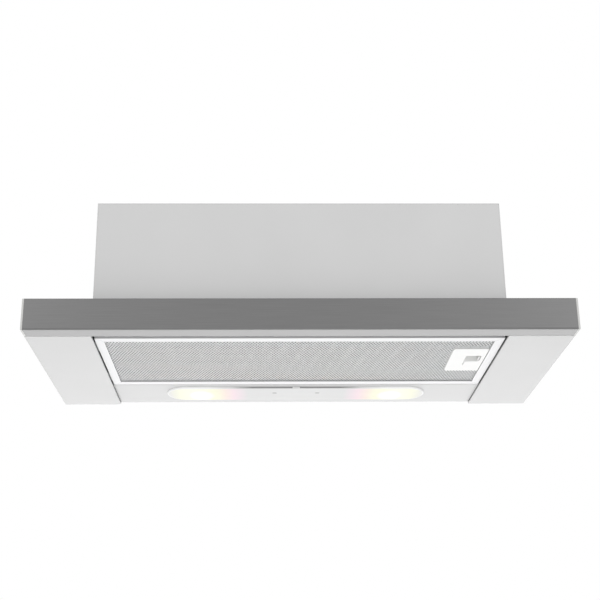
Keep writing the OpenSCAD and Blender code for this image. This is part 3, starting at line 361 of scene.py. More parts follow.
def opal_cover():
    (x0, y0, _), (x1, y1, _) = box_of("bulb_right")
    lamp_x, lamp_y = (x0 + x1) / 2, (y0 + y1) / 2
    x_end = box_of("lamp_cover")[1][0]
    made, tree, shader = material("polycarbonate_opal_lamp_cover")
    axes = axes_of(tree, place(tree))
    from_centre = calc(tree, "ABSOLUTE", axes["X"])
    across = calc(tree, "SUBTRACT", axes["Y"], lamp_y * MM)

    def distance(x, rear, flatten):
        """How far a point is from (x, rear) beside the nearer lamp, the depth counted by flatten."""
        along = calc(tree, "SUBTRACT", from_centre, (lamp_x + x) * MM)
        deep = calc(tree, "MULTIPLY", calc(tree, "SUBTRACT", across, rear * MM), flatten)
        return calc(tree, "SQRT", calc(tree, "ADD", calc(tree, "MULTIPLY", along, along),
                                       calc(tree, "MULTIPLY", deep, deep)))

    away = distance(GLOW["out"], 0, GLOW["flatten"])
    ramp = add(tree, "ShaderNodeValToRGB", {"Fac": span(tree, away, 0, GLOW["reach"] * MM, 0, 1)})
    unlit = srgb(GLOW_STOPS[-1][1])
    while len(ramp.color_ramp.elements) < len(GLOW_STOPS):
        ramp.color_ramp.elements.new(0.5)
    for element, (at, code) in zip(ramp.color_ramp.elements, GLOW_STOPS):
        lit = srgb(code)
        element.position = at
        element.color = [max(lit[i] - unlit[i], 0) for i in range(3)] + [1]
    facing = axes_of(tree, add(tree, "ShaderNodeNewGeometry").outputs["Normal"])["Z"]
    down = span(tree, facing, -0.9, -0.5, 1, 0)
    # Painted light and shade on the low wall: pale #D8D8D8 near the lamps, painted darker #909090 between
    # them
    shaded = span(tree, away, GLOW["wall"][0] * MM, GLOW["wall"][1] * MM, 0, 1)
    wall = between(tree, shaded, srgb("#D8D8D8"), srgb("#909090"))
    # Painted highlight: the tab's walls get the lighter #ECECEC in place of the wall's painted shade
    on_tab = calc(tree, "LESS_THAN", from_centre, (COVER_TAB / 2 + 0.1) * MM)
    core = span(tree, distance(0, CORE["rear"], CORE["flatten"]),
                CORE["span"][0] * MM, CORE["span"][1] * MM, CORE["light"], 0)
    milk = pattern(tree, (40, 40, 40), 1.0)
    face = between(tree, milk, srgb("#CECECE"), srgb("#D2D2D2"))
    off_mark = distance(PIN_MARK["x"] - lamp_x, PIN_MARK["rear"], 1.0)
    marked = span(tree, off_mark,
                  (PIN_MARK["radius"] - 0.3) * MM, (PIN_MARK["radius"] + 0.1) * MM, 1, 0)
    glow = add(tree, "ShaderNodeVectorMath", {0: ramp.outputs["Color"], 1: core}, operation="ADD")
    straight = (x_end - COVER_DEPTH / 2) * MM
    beyond = calc(tree, "MAXIMUM", calc(tree, "SUBTRACT", from_centre, straight), 0.0)
    from_spine = calc(tree, "SQRT", calc(tree, "ADD", calc(tree, "MULTIPLY", beyond, beyond),
                                         calc(tree, "MULTIPLY", across, across)))
    rim = span(tree, from_spine,
               *[(COVER_DEPTH / 2 - inset) * MM for inset in RIM_LINE], 0, 1)
    pale = span(tree, away, *[v * MM for v in GLOW["rim"]], GLOW["rim_light"], 0)
    end = span(tree, from_centre, *[(x_end - inset) * MM for inset in PALE_END], 0, END_SHARE)
    inner = between(tree, end, glow.outputs[0], (0.06, 0.06, 0.05, 1.0))
    finish(tree, shader,
           Base_Color=between(tree, down, between(tree, on_tab, wall, srgb("#ECECEC")),
                              between(tree, marked, face, srgb("#B4B4B4"))),
           Roughness=span(tree, milk, 0.3, 0.7, 0.5, 0.56), Specular_IOR_Level=0.3,
           Emission_Color=between(tree, rim, inner, pale), Emission_Strength=1.0)
    return made


def frosted_glass():
    made, tree, shader = material("glass_frosted_lamp")
    frost = pattern(tree, (0.6, 0.6, 0.6))
    finish(tree, shader, Transmission_Weight=0.6,
           Base_Color=between(tree, frost, srgb("#F6F0DC"), srgb("#FFFBEE")),
           Roughness=span(tree, frost, 0.3, 0.7, 0.4, 0.55),
           Emission_Color=srgb("#FFF3D0"), Emission_Strength=0.6)
    return made


LAMP = {"cover": opal_cover(), "glass": frosted_glass()}
print("lamps:", [m.name for m in LAMP.values()])


# %% [markdown]
# ## Motors
# Each motor is a shaded-pole type: a stack of thin lacquered steel sheets, held between two die-cast
# bearing housings, with a copper coil at the bottom. The three parts are one CAD node, so the material
# tells them apart by their place. The sheets are 0.5 mm thick and give the fine lines across the axle.

# %% Motor material
# Half the stack's thickness, the coil's height and one sheet's thickness, in mm
STACK_HALF, COIL_HEIGHT, LAMINATION = 10.0, 6.0, 0.5


def motor_metal():
    low, high = box_of("motor_right")
    middle = (low[0] + high[0]) / 2
    made, tree, shader = material("motor_laminations_castings_and_coil")
    axes = axes_of(tree, place(tree))
    from_centre = calc(tree, "ABSOLUTE", axes["X"])
    off = calc(tree, "ABSOLUTE", calc(tree, "SUBTRACT", from_centre, middle * MM))
    stack = span(tree, off, STACK_HALF * MM, (STACK_HALF + 0.1) * MM, 1, 0)
    coil_top = low[2] + COIL_HEIGHT
    coil = span(tree, axes["Z"], coil_top * MM, (coil_top + 0.1) * MM, 1, 0)
    sheets = calc(tree, "PINGPONG", axes["X"], LAMINATION * MM)
    lines = span(tree, sheets, 0.05 * MM, 0.18 * MM, 0, 1)
    cast = pattern(tree, (1.5, 1.5, 1.5))
    casting = between(tree, cast, srgb("#8E9092"), srgb("#A3A5A7"))
    laminations = between(tree, lines, srgb("#3B3D40"), srgb("#74777A"))
    finish(tree, shader,
           Base_Color=between(tree, coil, between(tree, stack, casting, laminations),
                              srgb("#A5592E")),
           Metallic=0.8,
           Roughness=span(tree, cast, 0.3, 0.7, 0.4, 0.55),
           Normal=relief(tree, cast, 0.02, 0.4))
    return made


MOTOR = motor_metal()
print("motor:", MOTOR.name)


# %% [markdown]
# ## Paint for every CAD piece
# Each node of the CAD model gets the finish of the real piece. What is made again in mesh further down
# is replaced there, and its CAD node is then hidden.

# %% Assign the materials
PAINT = {
    STEEL["brushed"]: ["fascia"],
    STEEL["coat"]: ["housing_top", "housing_front", "housing_rear", "housing_side_left",
                    "housing_side_right", "side_strip_left", "side_strip_right", "lamp_panel"],
    STEEL["galvanised"]: ["filter_well", "drawer_frame", "motor_bracket_left", "motor_bracket_right"],
    STEEL["zinc"]: ["runner_outer_left", "runner_outer_right", "runner_middle_left",
                    "runner_middle_right", "runner_inner_left", "runner_inner_right"],
    STEEL["screw"]: ["collar_screws", "side_screws", "fascia_nuts"],
    ALUMINIUM["drawer_frame"]: ["drawer_filter_frame"],
    ALUMINIUM["fixed_frame"]: ["fixed_filter_frame"],
    ALUMINIUM["mesh"]: ["drawer_filter_mesh", "fixed_filter_mesh"],
    ALUMINIUM["pack"]: ["drawer_filter_pack", "fixed_filter_pack"],
    PLASTIC["white"]: ["drawer_latch_housing", "fixed_latch_housing", "outlet_collar", "flap_front",
                       "flap_rear", "lamp_holder_left", "lamp_holder_right", "terminal_block"],
    PLASTIC["grey"]: ["end_cap_left", "end_cap_right", "drawer_latch", "fixed_latch", "fan_knob",
                      "light_knob"],
    PLASTIC["black"]: ["switch_bezel", "fan_switch", "light_switch", "drawer_switch", "scroll_left",
                       "scroll_right", "impeller_left", "impeller_right", "junction_box",
                       "junction_lid", "cable_gland", "gland_nut"],
    PLASTIC["red"]: ["switch_plunger"],
    LAMP["cover"]: ["lamp_cover"],
    LAMP["glass"]: ["bulb_left", "bulb_right"],
    MOTOR: ["motor_left", "motor_right"],
}
for finish_of, names in PAINT.items():
    for name in names:
        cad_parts[name].data.materials.clear()
        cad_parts[name].data.materials.append(finish_of)
painted = sorted(n for names in PAINT.values() for n in names)
print("painted", len(painted), "of", len(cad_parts), "nodes; left:",
      sorted(set(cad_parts) - set(painted)))


# %% [markdown]
# ## Expanded sheets
# Expanded metal is slit in staggered rows and pulled until the slits open into lozenges. What is left is
# a stack of zigzag strands that touch at their bends. The tree below makes one zigzag as a curve,
# gives it the flat, tilted section of a strand, repeats it row by row with every second row shifted by
# half a pitch, and repeats that for each layer. What falls in the notch of the latch housing is cut out.

# %% The tree of an expanded sheet
def expanded_tree():
    tree = bpy.data.node_groups.new("expanded_sheet", "GeometryNodeTree")
    face = tree.interface
    face.new_socket("Geometry", in_out="OUTPUT", socket_type="NodeSocketGeometry")
    for name in ("Corner", "Notch Low", "Notch High"):
        face.new_socket(name, in_out="INPUT", socket_type="NodeSocketVector")
    for name in ("Width", "Depth", "Pitch X", "Pitch Y", "Strand", "Thickness", "Tilt", "Step",
                 "Layer Gap", "Layer Shift", "Unevenness"):
        face.new_socket(name, in_out="INPUT", socket_type="NodeSocketFloat")
    for name in ("Layers", "Seed"):
        face.new_socket(name, in_out="INPUT", socket_type="NodeSocketInt")
    face.new_socket("Material", in_out="INPUT", socket_type="NodeSocketMaterial")
    given = add(tree, "NodeGroupInput").outputs

    half_x = calc(tree, "MULTIPLY", given["Pitch X"], 0.5)
    half_y = calc(tree, "MULTIPLY", given["Pitch Y"], 0.5)
    bends = calc(tree, "ROUND", calc(tree, "DIVIDE", given["Width"], half_x))
    rows = calc(tree, "ROUND", calc(tree, "DIVIDE", given["Depth"], half_y))
    odd = calc(tree, "MODULO", add(tree, "GeometryNodeInputIndex").outputs[0], 2.0)

    # One zigzag, whose bends step up and down by turns so that the rows overlap where they touch
    line = add(tree, "GeometryNodeMeshLine", {"Count": bends, "Offset": vector(tree, half_x)})
    curve = add(tree, "GeometryNodeMeshToCurve", {"Mesh": line.outputs["Mesh"]})
    rise = calc(tree, "MULTIPLY", calc(tree, "SUBTRACT", odd, 0.5), given["Step"])
    spread = vector(tree, *(given["Unevenness"],) * 3)
    jitter = add(tree, "FunctionNodeRandomValue", data_type="FLOAT_VECTOR")
    tree.links.new(spread, jitter.inputs["Max"])
    tree.links.new(given["Seed"], jitter.inputs["Seed"])
    bend = vector(tree, 0.0, calc(tree, "MULTIPLY", odd, half_y), rise)
    bend_to = add(tree, "ShaderNodeVectorMath", {0: bend, 1: jitter.outputs["Value"]},
                  operation="ADD")
    zigzag = add(tree, "GeometryNodeSetPosition", {"Geometry": curve.outputs["Curve"],
                                                   "Offset": bend_to.outputs[0]})
    upright = add(tree, "GeometryNodeSetCurveNormal", {"Curve": zigzag.outputs["Geometry"]})
    upright.mode = "Z_UP"
    section = add(tree, "GeometryNodeCurvePrimitiveQuadrilateral",
                  {"Width": given["Strand"], "Height": given["Thickness"]})
    tilted = add(tree, "GeometryNodeTransform", {"Geometry": section.outputs["Curve"],
                                                 "Rotation": vector(tree, z=given["Tilt"])})
    strand = add(tree, "GeometryNodeCurveToMesh", {"Curve": upright.outputs["Curve"],
                                                   "Profile Curve": tilted.outputs["Geometry"],
                                                   "Fill Caps": True})

    # The rows of one layer, and the layers
    shift = vector(tree, calc(tree, "MULTIPLY", odd, half_x))
    column = add(tree, "GeometryNodeMeshLine", {"Count": rows, "Offset": vector(tree, 0.0, half_y)})
    staggered = add(tree, "GeometryNodeSetPosition", {"Geometry": column.outputs["Mesh"],
                                                      "Offset": shift})
    layer = add(tree, "GeometryNodeInstanceOnPoints", {"Points": staggered.outputs["Geometry"],
                                                       "Instance": strand.outputs["Mesh"]})
    stack = add(tree, "GeometryNodeMeshLine",
                {"Count": given["Layers"],
                 "Offset": vector(tree, given["Layer Shift"], given["Layer Shift"], given["Layer Gap"])})
    layers = add(tree, "GeometryNodeInstanceOnPoints", {"Points": stack.outputs["Mesh"],
                                                        "Instance": layer.outputs["Instances"]})
    placed = add(tree, "GeometryNodeTransform", {"Geometry": layers.outputs["Instances"],
                                                 "Translation": given["Corner"]})
    real = add(tree, "GeometryNodeRealizeInstances", {"Geometry": placed.outputs["Geometry"]})

    # The notch of the latch housing
    spot = axes_of(tree, add(tree, "GeometryNodeInputPosition").outputs[0])
    low, high = axes_of(tree, given["Notch Low"]), axes_of(tree, given["Notch High"])
    inside = 1.0
    for axis in ("X", "Y"):
        inside = calc(tree, "MULTIPLY", inside, calc(tree, "GREATER_THAN", spot[axis], low[axis]))
        inside = calc(tree, "MULTIPLY", inside, calc(tree, "LESS_THAN", spot[axis], high[axis]))
    cut = add(tree, "GeometryNodeDeleteGeometry", {"Geometry": real.outputs["Geometry"],
                                                   "Selection": calc(tree, "GREATER_THAN", inside, 0.5)},
              domain="FACE")
    coated = add(tree, "GeometryNodeSetMaterial", {"Geometry": cut.outputs["Geometry"],
                                                   "Material": given["Material"]})
    add(tree, "NodeGroupOutput", {"Geometry": coated.outputs["Geometry"]})
    return tree


def from_tree(name, tree, values, mesh=None):
    """A plain mesh object with what the tree makes of these values, and of a mesh if it takes one."""
    made = bpy.data.objects.new(name, mesh or bpy.data.meshes.new(name))
    bpy.context.scene.collection.objects.link(made)
    modifier = made.modifiers.new("made_by_tree", "NODES")
    modifier.node_group = tree
    sockets = {s.name: s.identifier for s in tree.interface.items_tree
               if s.item_type == "SOCKET" and s.in_out == "INPUT"}
    for key, value in values.items():
        modifier[sockets[key]] = value
    bpy.context.view_layer.update()
    graph = bpy.context.evaluated_depsgraph_get()
    made.data = bpy.data.meshes.new_from_object(made.evaluated_get(graph))
    made.modifiers.clear()
    made.data.name = name
    return made


def triangles(obj):
    return sum(len(p.vertices) - 2 for p in obj.data.polygons)


EXPANDED = expanded_tree()
print("inputs:", [s.name for s in EXPANDED.interface.items_tree if s.in_out == "INPUT"])


# %% [markdown]
# ## The sheets of both filters
# The outer sheet that one sees has lozenges 3.6 mm wide and 8.2 mm long, the long way from front to rear,
# and that of the fixed filter, which the closed drawer hides, is a little coarser. Behind each lie three
# more sheets with larger openings, shifted against each other, which are what catches the grease. They
# end under the frame's folded lips.

# %% Expanded sheets in place
# In mm: how far a sheet ends inside the CAD sheet's ends, how far it passes under the latch housing's
# edge, and how far the outermost sheets of a pack lie inside its faces
SHEET_INSET, NOTCH_OVERLAP, PACK_SKIN = 1.5, 0.8, 0.8
PACK_LAYERS = 3


def strands(pitch, strand, thickness, tilt, step, unevenness, seed):
    """What the tree needs for one kind of strand, given in millimetres and degrees."""
    return {"Pitch X": pitch[0] * MM, "Pitch Y": pitch[1] * MM, "Strand": strand * MM,
            "Thickness": thickness * MM, "Tilt": math.radians(tilt), "Step": step * MM,
            "Unevenness": unevenness * MM, "Seed": seed}


PACK_STRANDS = strands((5.4, 9.6), 1.5, 0.4, 30, 0.3, 0.2, 8)


def filter_sheets(body, kind, pitch):
    mesh_node, pack_node = kind + "_filter_mesh", kind + "_filter_pack"
    (x0, y0, z0), (x1, y1, z1) = box_of(mesh_node)
    (_, _, p0), (_, _, p1) = box_of(pack_node)
    (latch_x0, l0, _), (_, l1, _) = box_of(kind + "_latch_housing")
    left, front = x0 + SHEET_INSET, y0 + pitch[1]
    common = {
        "Width": (x1 - x0 - 2 * SHEET_INSET) * MM, "Depth": (y1 - y0 - 2 * pitch[1]) * MM,
        "Notch Low": ((latch_x0 + NOTCH_OVERLAP) * MM, (l0 + NOTCH_OVERLAP) * MM, 0.0),
        "Notch High": ((x1 + 20) * MM, (l1 - NOTCH_OVERLAP) * MM, 0.0),
    }
    outer = from_tree(kind + "_filter_sheet", EXPANDED, {
        **common, **strands(pitch, 1.3, 0.35, -10, 0.18, 0.06, 3),
        "Corner": (left * MM, front * MM, (z0 + z1) / 2 * MM),
        "Layers": 1, "Layer Gap": 0.0, "Layer Shift": 0.0, "Material": ALUMINIUM["mesh"]})
    gap = (p1 - p0 - 2 * PACK_SKIN) / (PACK_LAYERS - 1)
    inner = from_tree(pack_node + "_layers", EXPANDED, {
        **common, **PACK_STRANDS,
        "Corner": (left * MM, front * MM, (p0 + PACK_SKIN) * MM),
        "Layers": PACK_LAYERS, "Layer Gap": gap * MM, "Layer Shift": 1.3 * MM,
        "Material": ALUMINIUM["pack"]})
    for made, node in ((outer, mesh_node), (inner, pack_node)):
        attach(made, body)
        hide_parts(node)
        print(made.name, "has", triangles(made), "triangles")


filter_sheets("drawer", "drawer", (3.6, 8.2))
filter_sheets("hood", "fixed", (4.6, 8.8))


# %% [markdown]
# ## Screws
# The collar and the side strips are held by pan-head screws with a cross recess, cold-headed from wire
# and zinc-plated. The CAD has plain rods in their place. One screw is built as a tree: a rod, and a head
# whose face is domed by lowering each ring of it, from which two crossed bars are cut. It is put on one
# point for each rod, turned outward, and then twisted by chance, since no two screws stop alike.

# %% The tree of a screw
# In mm
HEAD_RADIUS, HEAD_HEIGHT, ROD_RADIUS, RECESS_WIDTH = 3.6, 1.8, 1.9, 0.95


def screw_tree():
    tree = bpy.data.node_groups.new("pan_head_screw", "GeometryNodeTree")
    face = tree.interface
    face.new_socket("Geometry", in_out="OUTPUT", socket_type="NodeSocketGeometry")
    face.new_socket("Geometry", in_out="INPUT", socket_type="NodeSocketGeometry")
    for name in ("Head Radius", "Head Height", "Rod Radius", "Rod Length", "Recess Width"):
        face.new_socket(name, in_out="INPUT", socket_type="NodeSocketFloat")
    face.new_socket("Seed", in_out="INPUT", socket_type="NodeSocketInt")
    face.new_socket("Material", in_out="INPUT", socket_type="NodeSocketMaterial")
    given = add(tree, "NodeGroupInput").outputs

    def moved(mesh, offset):
        return add(tree, "GeometryNodeTransform",
                   {"Geometry": mesh, "Translation": offset}).outputs[0]

    # The head stands on the origin and its rod hangs below
    head = add(tree, "GeometryNodeMeshCylinder",
               {"Vertices": 32, "Side Segments": 1, "Fill Segments": 5,
                "Radius": given["Head Radius"], "Depth": given["Head Height"]})
    half_up = vector(tree, z=calc(tree, "MULTIPLY", given["Head Height"], 0.5))
    raised = moved(head.outputs["Mesh"], half_up)
    spot = axes_of(tree, add(tree, "GeometryNodeInputPosition").outputs[0])
    squares = calc(tree, "ADD", calc(tree, "POWER", spot["X"], 2.0),
                   calc(tree, "POWER", spot["Y"], 2.0))
    out = calc(tree, "DIVIDE", calc(tree, "SQRT", squares), given["Head Radius"])
    share = calc(tree, "MULTIPLY", calc(tree, "POWER", out, 3.0), -0.5)
    drop = calc(tree, "MULTIPLY", spot["Z"], share)
    domed = add(tree, "GeometryNodeSetPosition", {"Geometry": raised, "Offset": vector(tree, z=drop)})
    long = calc(tree, "MULTIPLY", given["Head Radius"], 1.1)
    short, tall = given["Recess Width"], given["Head Height"]
    raised_bar = vector(tree, z=calc(tree, "MULTIPLY", tall, 0.85))
    recessed = domed.outputs["Geometry"]
    for size in ((long, short, tall), (short, long, tall)):
        bar = add(tree, "GeometryNodeMeshCube", {"Size": vector(tree, *size)})
        cut = add(tree, "GeometryNodeMeshBoolean",
                  {0: recessed, 1: moved(bar.outputs["Mesh"], raised_bar)}, operation="DIFFERENCE")
        recessed = cut.outputs["Mesh"]
    rod = add(tree, "GeometryNodeMeshCylinder",
              {"Vertices": 24, "Radius": given["Rod Radius"], "Depth": given["Rod Length"]})
    half_down = vector(tree, z=calc(tree, "MULTIPLY", given["Rod Length"], -0.5))
    lowered = moved(rod.outputs["Mesh"], half_down)
    screw = add(tree, "GeometryNodeJoinGeometry")
    tree.links.new(recessed, screw.inputs[0])
    tree.links.new(lowered, screw.inputs[0])

    turn = add(tree, "GeometryNodeInputNamedAttribute", {"Name": "turn"}, data_type="FLOAT_VECTOR")
    turned = add(tree, "FunctionNodeEulerToRotation", {"Euler": turn.outputs["Attribute"]})
    placed = add(tree, "GeometryNodeInstanceOnPoints",
                 {"Points": given["Geometry"], "Instance": screw.outputs["Geometry"],
                  "Rotation": turned.outputs["Rotation"]})
    chance = add(tree, "FunctionNodeRandomValue", data_type="FLOAT_VECTOR")
    chance.inputs["Max"].default_value = (0.0, 0.0, math.pi)
    tree.links.new(given["Seed"], chance.inputs["Seed"])
    twisted = add(tree, "GeometryNodeRotateInstances",
                  {"Instances": placed.outputs["Instances"], "Rotation": chance.outputs["Value"]})
    real = add(tree, "GeometryNodeRealizeInstances", {"Geometry": twisted.outputs["Instances"]})
    coated = add(tree, "GeometryNodeSetMaterial", {"Geometry": real.outputs["Geometry"],
                                                   "Material": given["Material"]})
    add(tree, "NodeGroupOutput", {"Geometry": coated.outputs["Geometry"]})
    return tree


def rods_of(node):
    """The box of each separate rod of a CAD node, in millimetres."""
    work = bmesh.new()
    work.from_mesh(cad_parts[node].data)
    bmesh.ops.remove_doubles(work, verts=work.verts, dist=0.001 * MM)
    left, boxes = set(work.verts), []
    while left:
        island, edge = set(), {next(iter(left))}
        while edge:
            island |= edge
            edge = {e.other_vert(v) for v in edge for e in v.link_edges} - island
        left -= island
        boxes.append([[pick(v.co[i] for v in island) / MM for i in range(3)]
                      for pick in (min, max)])
    work.free()
    return sorted(boxes)


def screws(node):
    """Screws on one point each, whose head points up, or outward where the rod lies along X."""
    points, turns, lengths = [], [], []
    for low, high in rods_of(node):
        point = [(a + b) / 2 for a, b in zip(low, high)]
        axis = 0 if high[0] - low[0] > high[2] - low[2] else 2
        outward = -1 if point[axis] < 0 else 1
        point[axis] = (high if outward > 0 else low)[axis] - outward * HEAD_HEIGHT
        points.append(point)
        turns.append((0, outward * math.pi / 2 if axis == 0 else 0, 0))
        lengths.append(high[axis] - low[axis])
    mesh = bpy.data.meshes.new(node + "_points")
    mesh.from_pydata([[v * MM for v in p] for p in points], [], [])
    turn = mesh.attributes.new("turn", "FLOAT_VECTOR", "POINT")
    turn.data.foreach_set("vector", [v for t in turns for v in t])
    made = from_tree(node.replace("screws", "pan_head_screws"), SCREW, {
        "Head Radius": HEAD_RADIUS * MM, "Head Height": HEAD_HEIGHT * MM,
        "Rod Radius": ROD_RADIUS * MM, "Rod Length": (min(lengths) - HEAD_HEIGHT) * MM,
        "Recess Width": RECESS_WIDTH * MM, "Seed": 4, "Material": STEEL["screw"]}, mesh)
    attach(made, "hood")
    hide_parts(node)
    print(made.name, "has", len(points), "screws and", triangles(made), "triangles")


SCREW = screw_tree()
for node in ("collar_screws", "side_screws"):
    screws(node)


# %% [markdown]
# ## The lamp cover
# The opal cover is a shallow moulded tray with fully round ends. Its lower edge has a soft radius. The
# bright rim on it is the lamps' glow, which the material puts along the outline, and the dark line below
# the front wall is painted shade in the colour of the walls. A collar on its back sits in the opening of
# the lamp panel, and a small tab at the front is where a finger unclips it. Between the lamps the face
# shows two faint round marks, where the pins pushed the warm part out of its mould.

# %% Lamp cover
# The lower edge's soft radius, as insets from the outline and heights above the face, in mm
SOFT_EDGE = ((0, 1.3), (0.3, 0.7), (0.9, 0.27))
# Insets from the outline, in mm: the flat face, and the outer and inner wall of the collar
FACE_INSET, COLLAR_OUTER, COLLAR_INNER = 1.8, 1.6, 3.2
# The tab's middle out from the front edge, its depth and its edges' radius, and a mark's depth, in mm
TAB_OUT, TAB_DEPTH, TAB_ROUND, PIN_DEPTH = 0.6, 1.8, 0.35, 0.6


def stadium_ring(made, width, depth, centre, inset, z, steps=28):
    """Adds a ring of vertices round a shape with two round ends, inset from its outline."""
    radius = depth / 2 - inset
    straight = (width - depth) / 2
    ring = []
    for side in (1, -1):
        for i in range(steps + 1):
            angle = math.pi * (i / steps - 0.5) + (0 if side == 1 else math.pi)
            ring.append(made.verts.new(((side * straight + radius * math.cos(angle)) * MM,
                                        (centre + radius * math.sin(angle)) * MM, z * MM)))
    return ring


def lamp_cover():
    (x0, _, z0), (x1, y1, z1) = box_of("lamp_cover")
    centre = y1 - COVER_DEPTH / 2
    width = x1 - x0
    rest = box_of("lamp_panel")[0][2]
    made = bmesh.new()
    section = [(COLLAR_INNER, z0 + 1.2), (COLLAR_INNER, z1), (COLLAR_OUTER, z1), (COLLAR_OUTER, rest),
               (0, rest), *[(inset, z0 + up) for inset, up in SOFT_EDGE],
               (FACE_INSET, z0 + PIN_MARK["height"])]
    rings = [stadium_ring(made, width, COVER_DEPTH, centre, inset, z) for inset, z in section]
    for first, second in zip(rings, rings[1:]):
        for i in range(len(first)):
            j = (i + 1) % len(first)
            made.faces.new((first[i], second[i], second[j], first[j]))
    made.faces.new(rings[0])
    made.faces.new(list(reversed(rings[-1])))
    for side in (-1, 1):
        spot = Vector((side * PIN_MARK["x"], centre + PIN_MARK["rear"], z0 + PIN_DEPTH / 2)) * MM
        bmesh.ops.create_cone(made, cap_ends=True, segments=32, matrix=Matrix.Translation(spot),
                              radius1=(PIN_MARK["radius"] - 0.1) * MM,
                              radius2=PIN_MARK["radius"] * MM, depth=PIN_DEPTH * MM)
    tab = bmesh.ops.create_cube(made, size=1.0)["verts"]
    for v in tab:
        v.co = Vector((v.co.x * COVER_TAB, centre - COVER_DEPTH / 2 - TAB_OUT + v.co.y * TAB_DEPTH,
                       (z0 + rest) / 2 + v.co.z * (rest - z0))) * MM
    edges = list({e for v in tab for e in v.link_edges})
    bmesh.ops.bevel(made, geom=edges, offset=TAB_ROUND * MM, segments=2, affect="EDGES")
    bmesh.ops.recalc_face_normals(made, faces=made.faces)
    mesh = bpy.data.meshes.new("lamp_cover_moulding")
    made.to_mesh(mesh)
    made.free()
    mesh.materials.append(LAMP["cover"])
    obj = bpy.data.objects.new("lamp_cover_moulding", mesh)
    bpy.context.scene.collection.objects.link(obj)
    return obj


cover = lamp_cover()
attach(cover, "hood")
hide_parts("lamp_cover")
print("lamp cover:", triangles(cover), "triangles")


# %% [markdown]
# ## Floor and light
# The hood hangs in a plain pale studio. A floor lies well below it and gives back a soft light. It can't
# be seen from below, and further out it fades into the backdrop, so that no horizon shows. One wide soft
# box just above the floor lights the underside, as in a photograph taken from below, and a larger
# one at the rear gives the steel something bright to mirror. Two soft boxes in front, one on each side,
# bring the upper box and the fascia up without a hot spot. The backdrop is plain white for the camera,
# and for what steel and glass mirror.

# %% Floor, lights and backdrop
# In metres: the floor's height, its radius, and from and up to where it fades out
FLOOR_Z, FLOOR_RADIUS, FADE_FROM, FADE_TO = -1.2, 3.3, 1.4, 3.2
BACKDROP_STRENGTH, FILL_STRENGTH = 1.0, 1.0


def pale_floor():
    bpy.ops.mesh.primitive_circle_add(vertices=96, radius=FLOOR_RADIUS, fill_type="NGON",
                                      location=(0, 0, FLOOR_Z))
    floor = bpy.context.object
    floor.name = "studio_floor"
    made, tree, shader = material("studio_floor_matt_paint")
    grain = pattern(tree, (3, 3, 3), 2.0)
    finish(tree, shader, Roughness=0.9,
           Base_Color=between(tree, grain, srgb("#E6E6E6"), srgb("#EAEAEA")))
    behind = add(tree, "ShaderNodeNewGeometry").outputs["Backfacing"]
    away = add(tree, "ShaderNodeVectorMath", {0: place(tree)}, operation="LENGTH").outputs["Value"]
    gone = calc(tree, "MAXIMUM", behind, span(tree, away, FADE_FROM, FADE_TO, 0, 1))
    clear = add(tree, "ShaderNodeBsdfTransparent")
    fading = add(tree, "ShaderNodeMixShader", {0: gone, 1: shader.outputs[0], 2: clear.outputs[0]})
    tree.links.new(fading.outputs[0], tree.nodes["Material Output"].inputs["Surface"])
    floor.data.materials.append(made)


def soft_box(name, at, size, radiance):
    """A soft light of (width, height) in metres that faces the hood, as bright as radiance whites."""
    data = bpy.data.lights.new(name, "AREA")
    data.shape = "RECTANGLE"
    data.size, data.size_y = size
    data.energy = radiance * math.pi * data.size * data.size_y
    light = bpy.data.objects.new(name, data)
    light.location = at
    light.rotation_mode = "QUATERNION"
    light.rotation_quaternion = (-Vector(at)).to_track_quat("-Z", "Y")
    light.visible_camera = False
    bpy.context.scene.collection.objects.link(light)


pale_floor()
soft_box("underside_soft_box", (0, -0.3, -1.15), (1.0, 1.0), 0.86)
soft_box("rear_soft_box", (0.1, 3.4, -0.55), (3.4, 1.3), 3.1)
for side, x in (("left", -1.7), ("right", 1.7)):
    soft_box("front_soft_box_" + side, (x, -2.4, 1.5), (1.4, 1.4), 1.5)

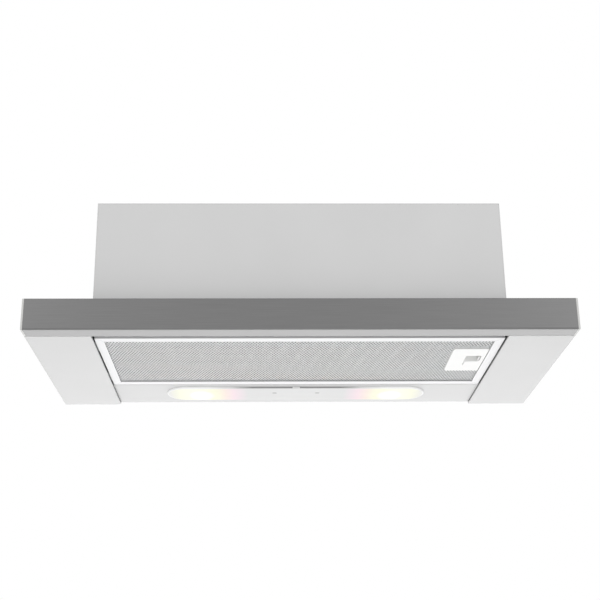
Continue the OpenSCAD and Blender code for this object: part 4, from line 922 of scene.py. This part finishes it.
world = bpy.data.worlds.new("studio_backdrop")
bpy.context.scene.world = world
world.use_nodes = True
sky = world.node_tree
sky.nodes.clear()
ray = add(sky, "ShaderNodeLightPath").outputs
seen = calc(sky, "MAXIMUM", ray["Is Camera Ray"],
            calc(sky, "MAXIMUM", ray["Is Glossy Ray"], ray["Is Transmission Ray"]))
white = add(sky, "ShaderNodeBackground",
            {"Color": srgb("#FFFFFF"), "Strength": BACKDROP_STRENGTH})
fill = add(sky, "ShaderNodeBackground", {"Color": srgb("#FFFFFF"), "Strength": FILL_STRENGTH})
backdrop = add(sky, "ShaderNodeMixShader", {0: seen, 1: fill.outputs[0], 2: white.outputs[0]})
add(sky, "ShaderNodeOutputWorld", {"Surface": backdrop.outputs[0]})
bpy.context.scene.view_settings.view_transform = "Standard"


# %% [markdown]
# ## Camera
# The camera stands in front of the hood and below it, and looks up by about nineteen degrees. A part of
# the rise is given as lens shift, which keeps the upright edges nearly parallel. More shift would make
# them quite parallel, but would push the hood out of every other view, so it stays small. Place, angles
# and lens were fitted to the corners of the hood.

# %% Camera
# What the fit gave: the place in mm, the angles in radians, the focal length in frame widths
FITTED = {"at": (-37.1, -1236.6, -408.1), "pitch": 0.3282, "yaw": 0.0141, "roll": -0.0064,
          "focal": 1097.8 / 600, "shift_x": 0.0314, "shift_y": 0.1}
SENSOR_WIDTH = 36


def studio_camera(at, pitch, yaw, roll, focal, shift_x, shift_y):
    forward = Vector((math.sin(yaw) * math.cos(pitch), math.cos(yaw) * math.cos(pitch),
                      math.sin(pitch)))
    right = Vector((math.cos(yaw), -math.sin(yaw), 0))
    up = right.cross(forward)
    across = right * math.cos(roll) + up * math.sin(roll)
    upright = up * math.cos(roll) - right * math.sin(roll)
    data = bpy.data.cameras.new("studio_camera")
    data.sensor_width = SENSOR_WIDTH
    data.lens = SENSOR_WIDTH * focal
    data.shift_x, data.shift_y = shift_x, shift_y
    data.clip_start, data.clip_end = 0.05, 60
    camera = bpy.data.objects.new("studio_camera", data)
    turned = Matrix((across, upright, -forward)).transposed().to_4x4()
    camera.matrix_world = Matrix.Translation(Vector(at) * MM) @ turned
    bpy.context.scene.collection.objects.link(camera)
    bpy.context.scene.camera = camera
    return camera


camera = studio_camera(**FITTED)
print("lens", round(camera.data.lens, 1), "mm")
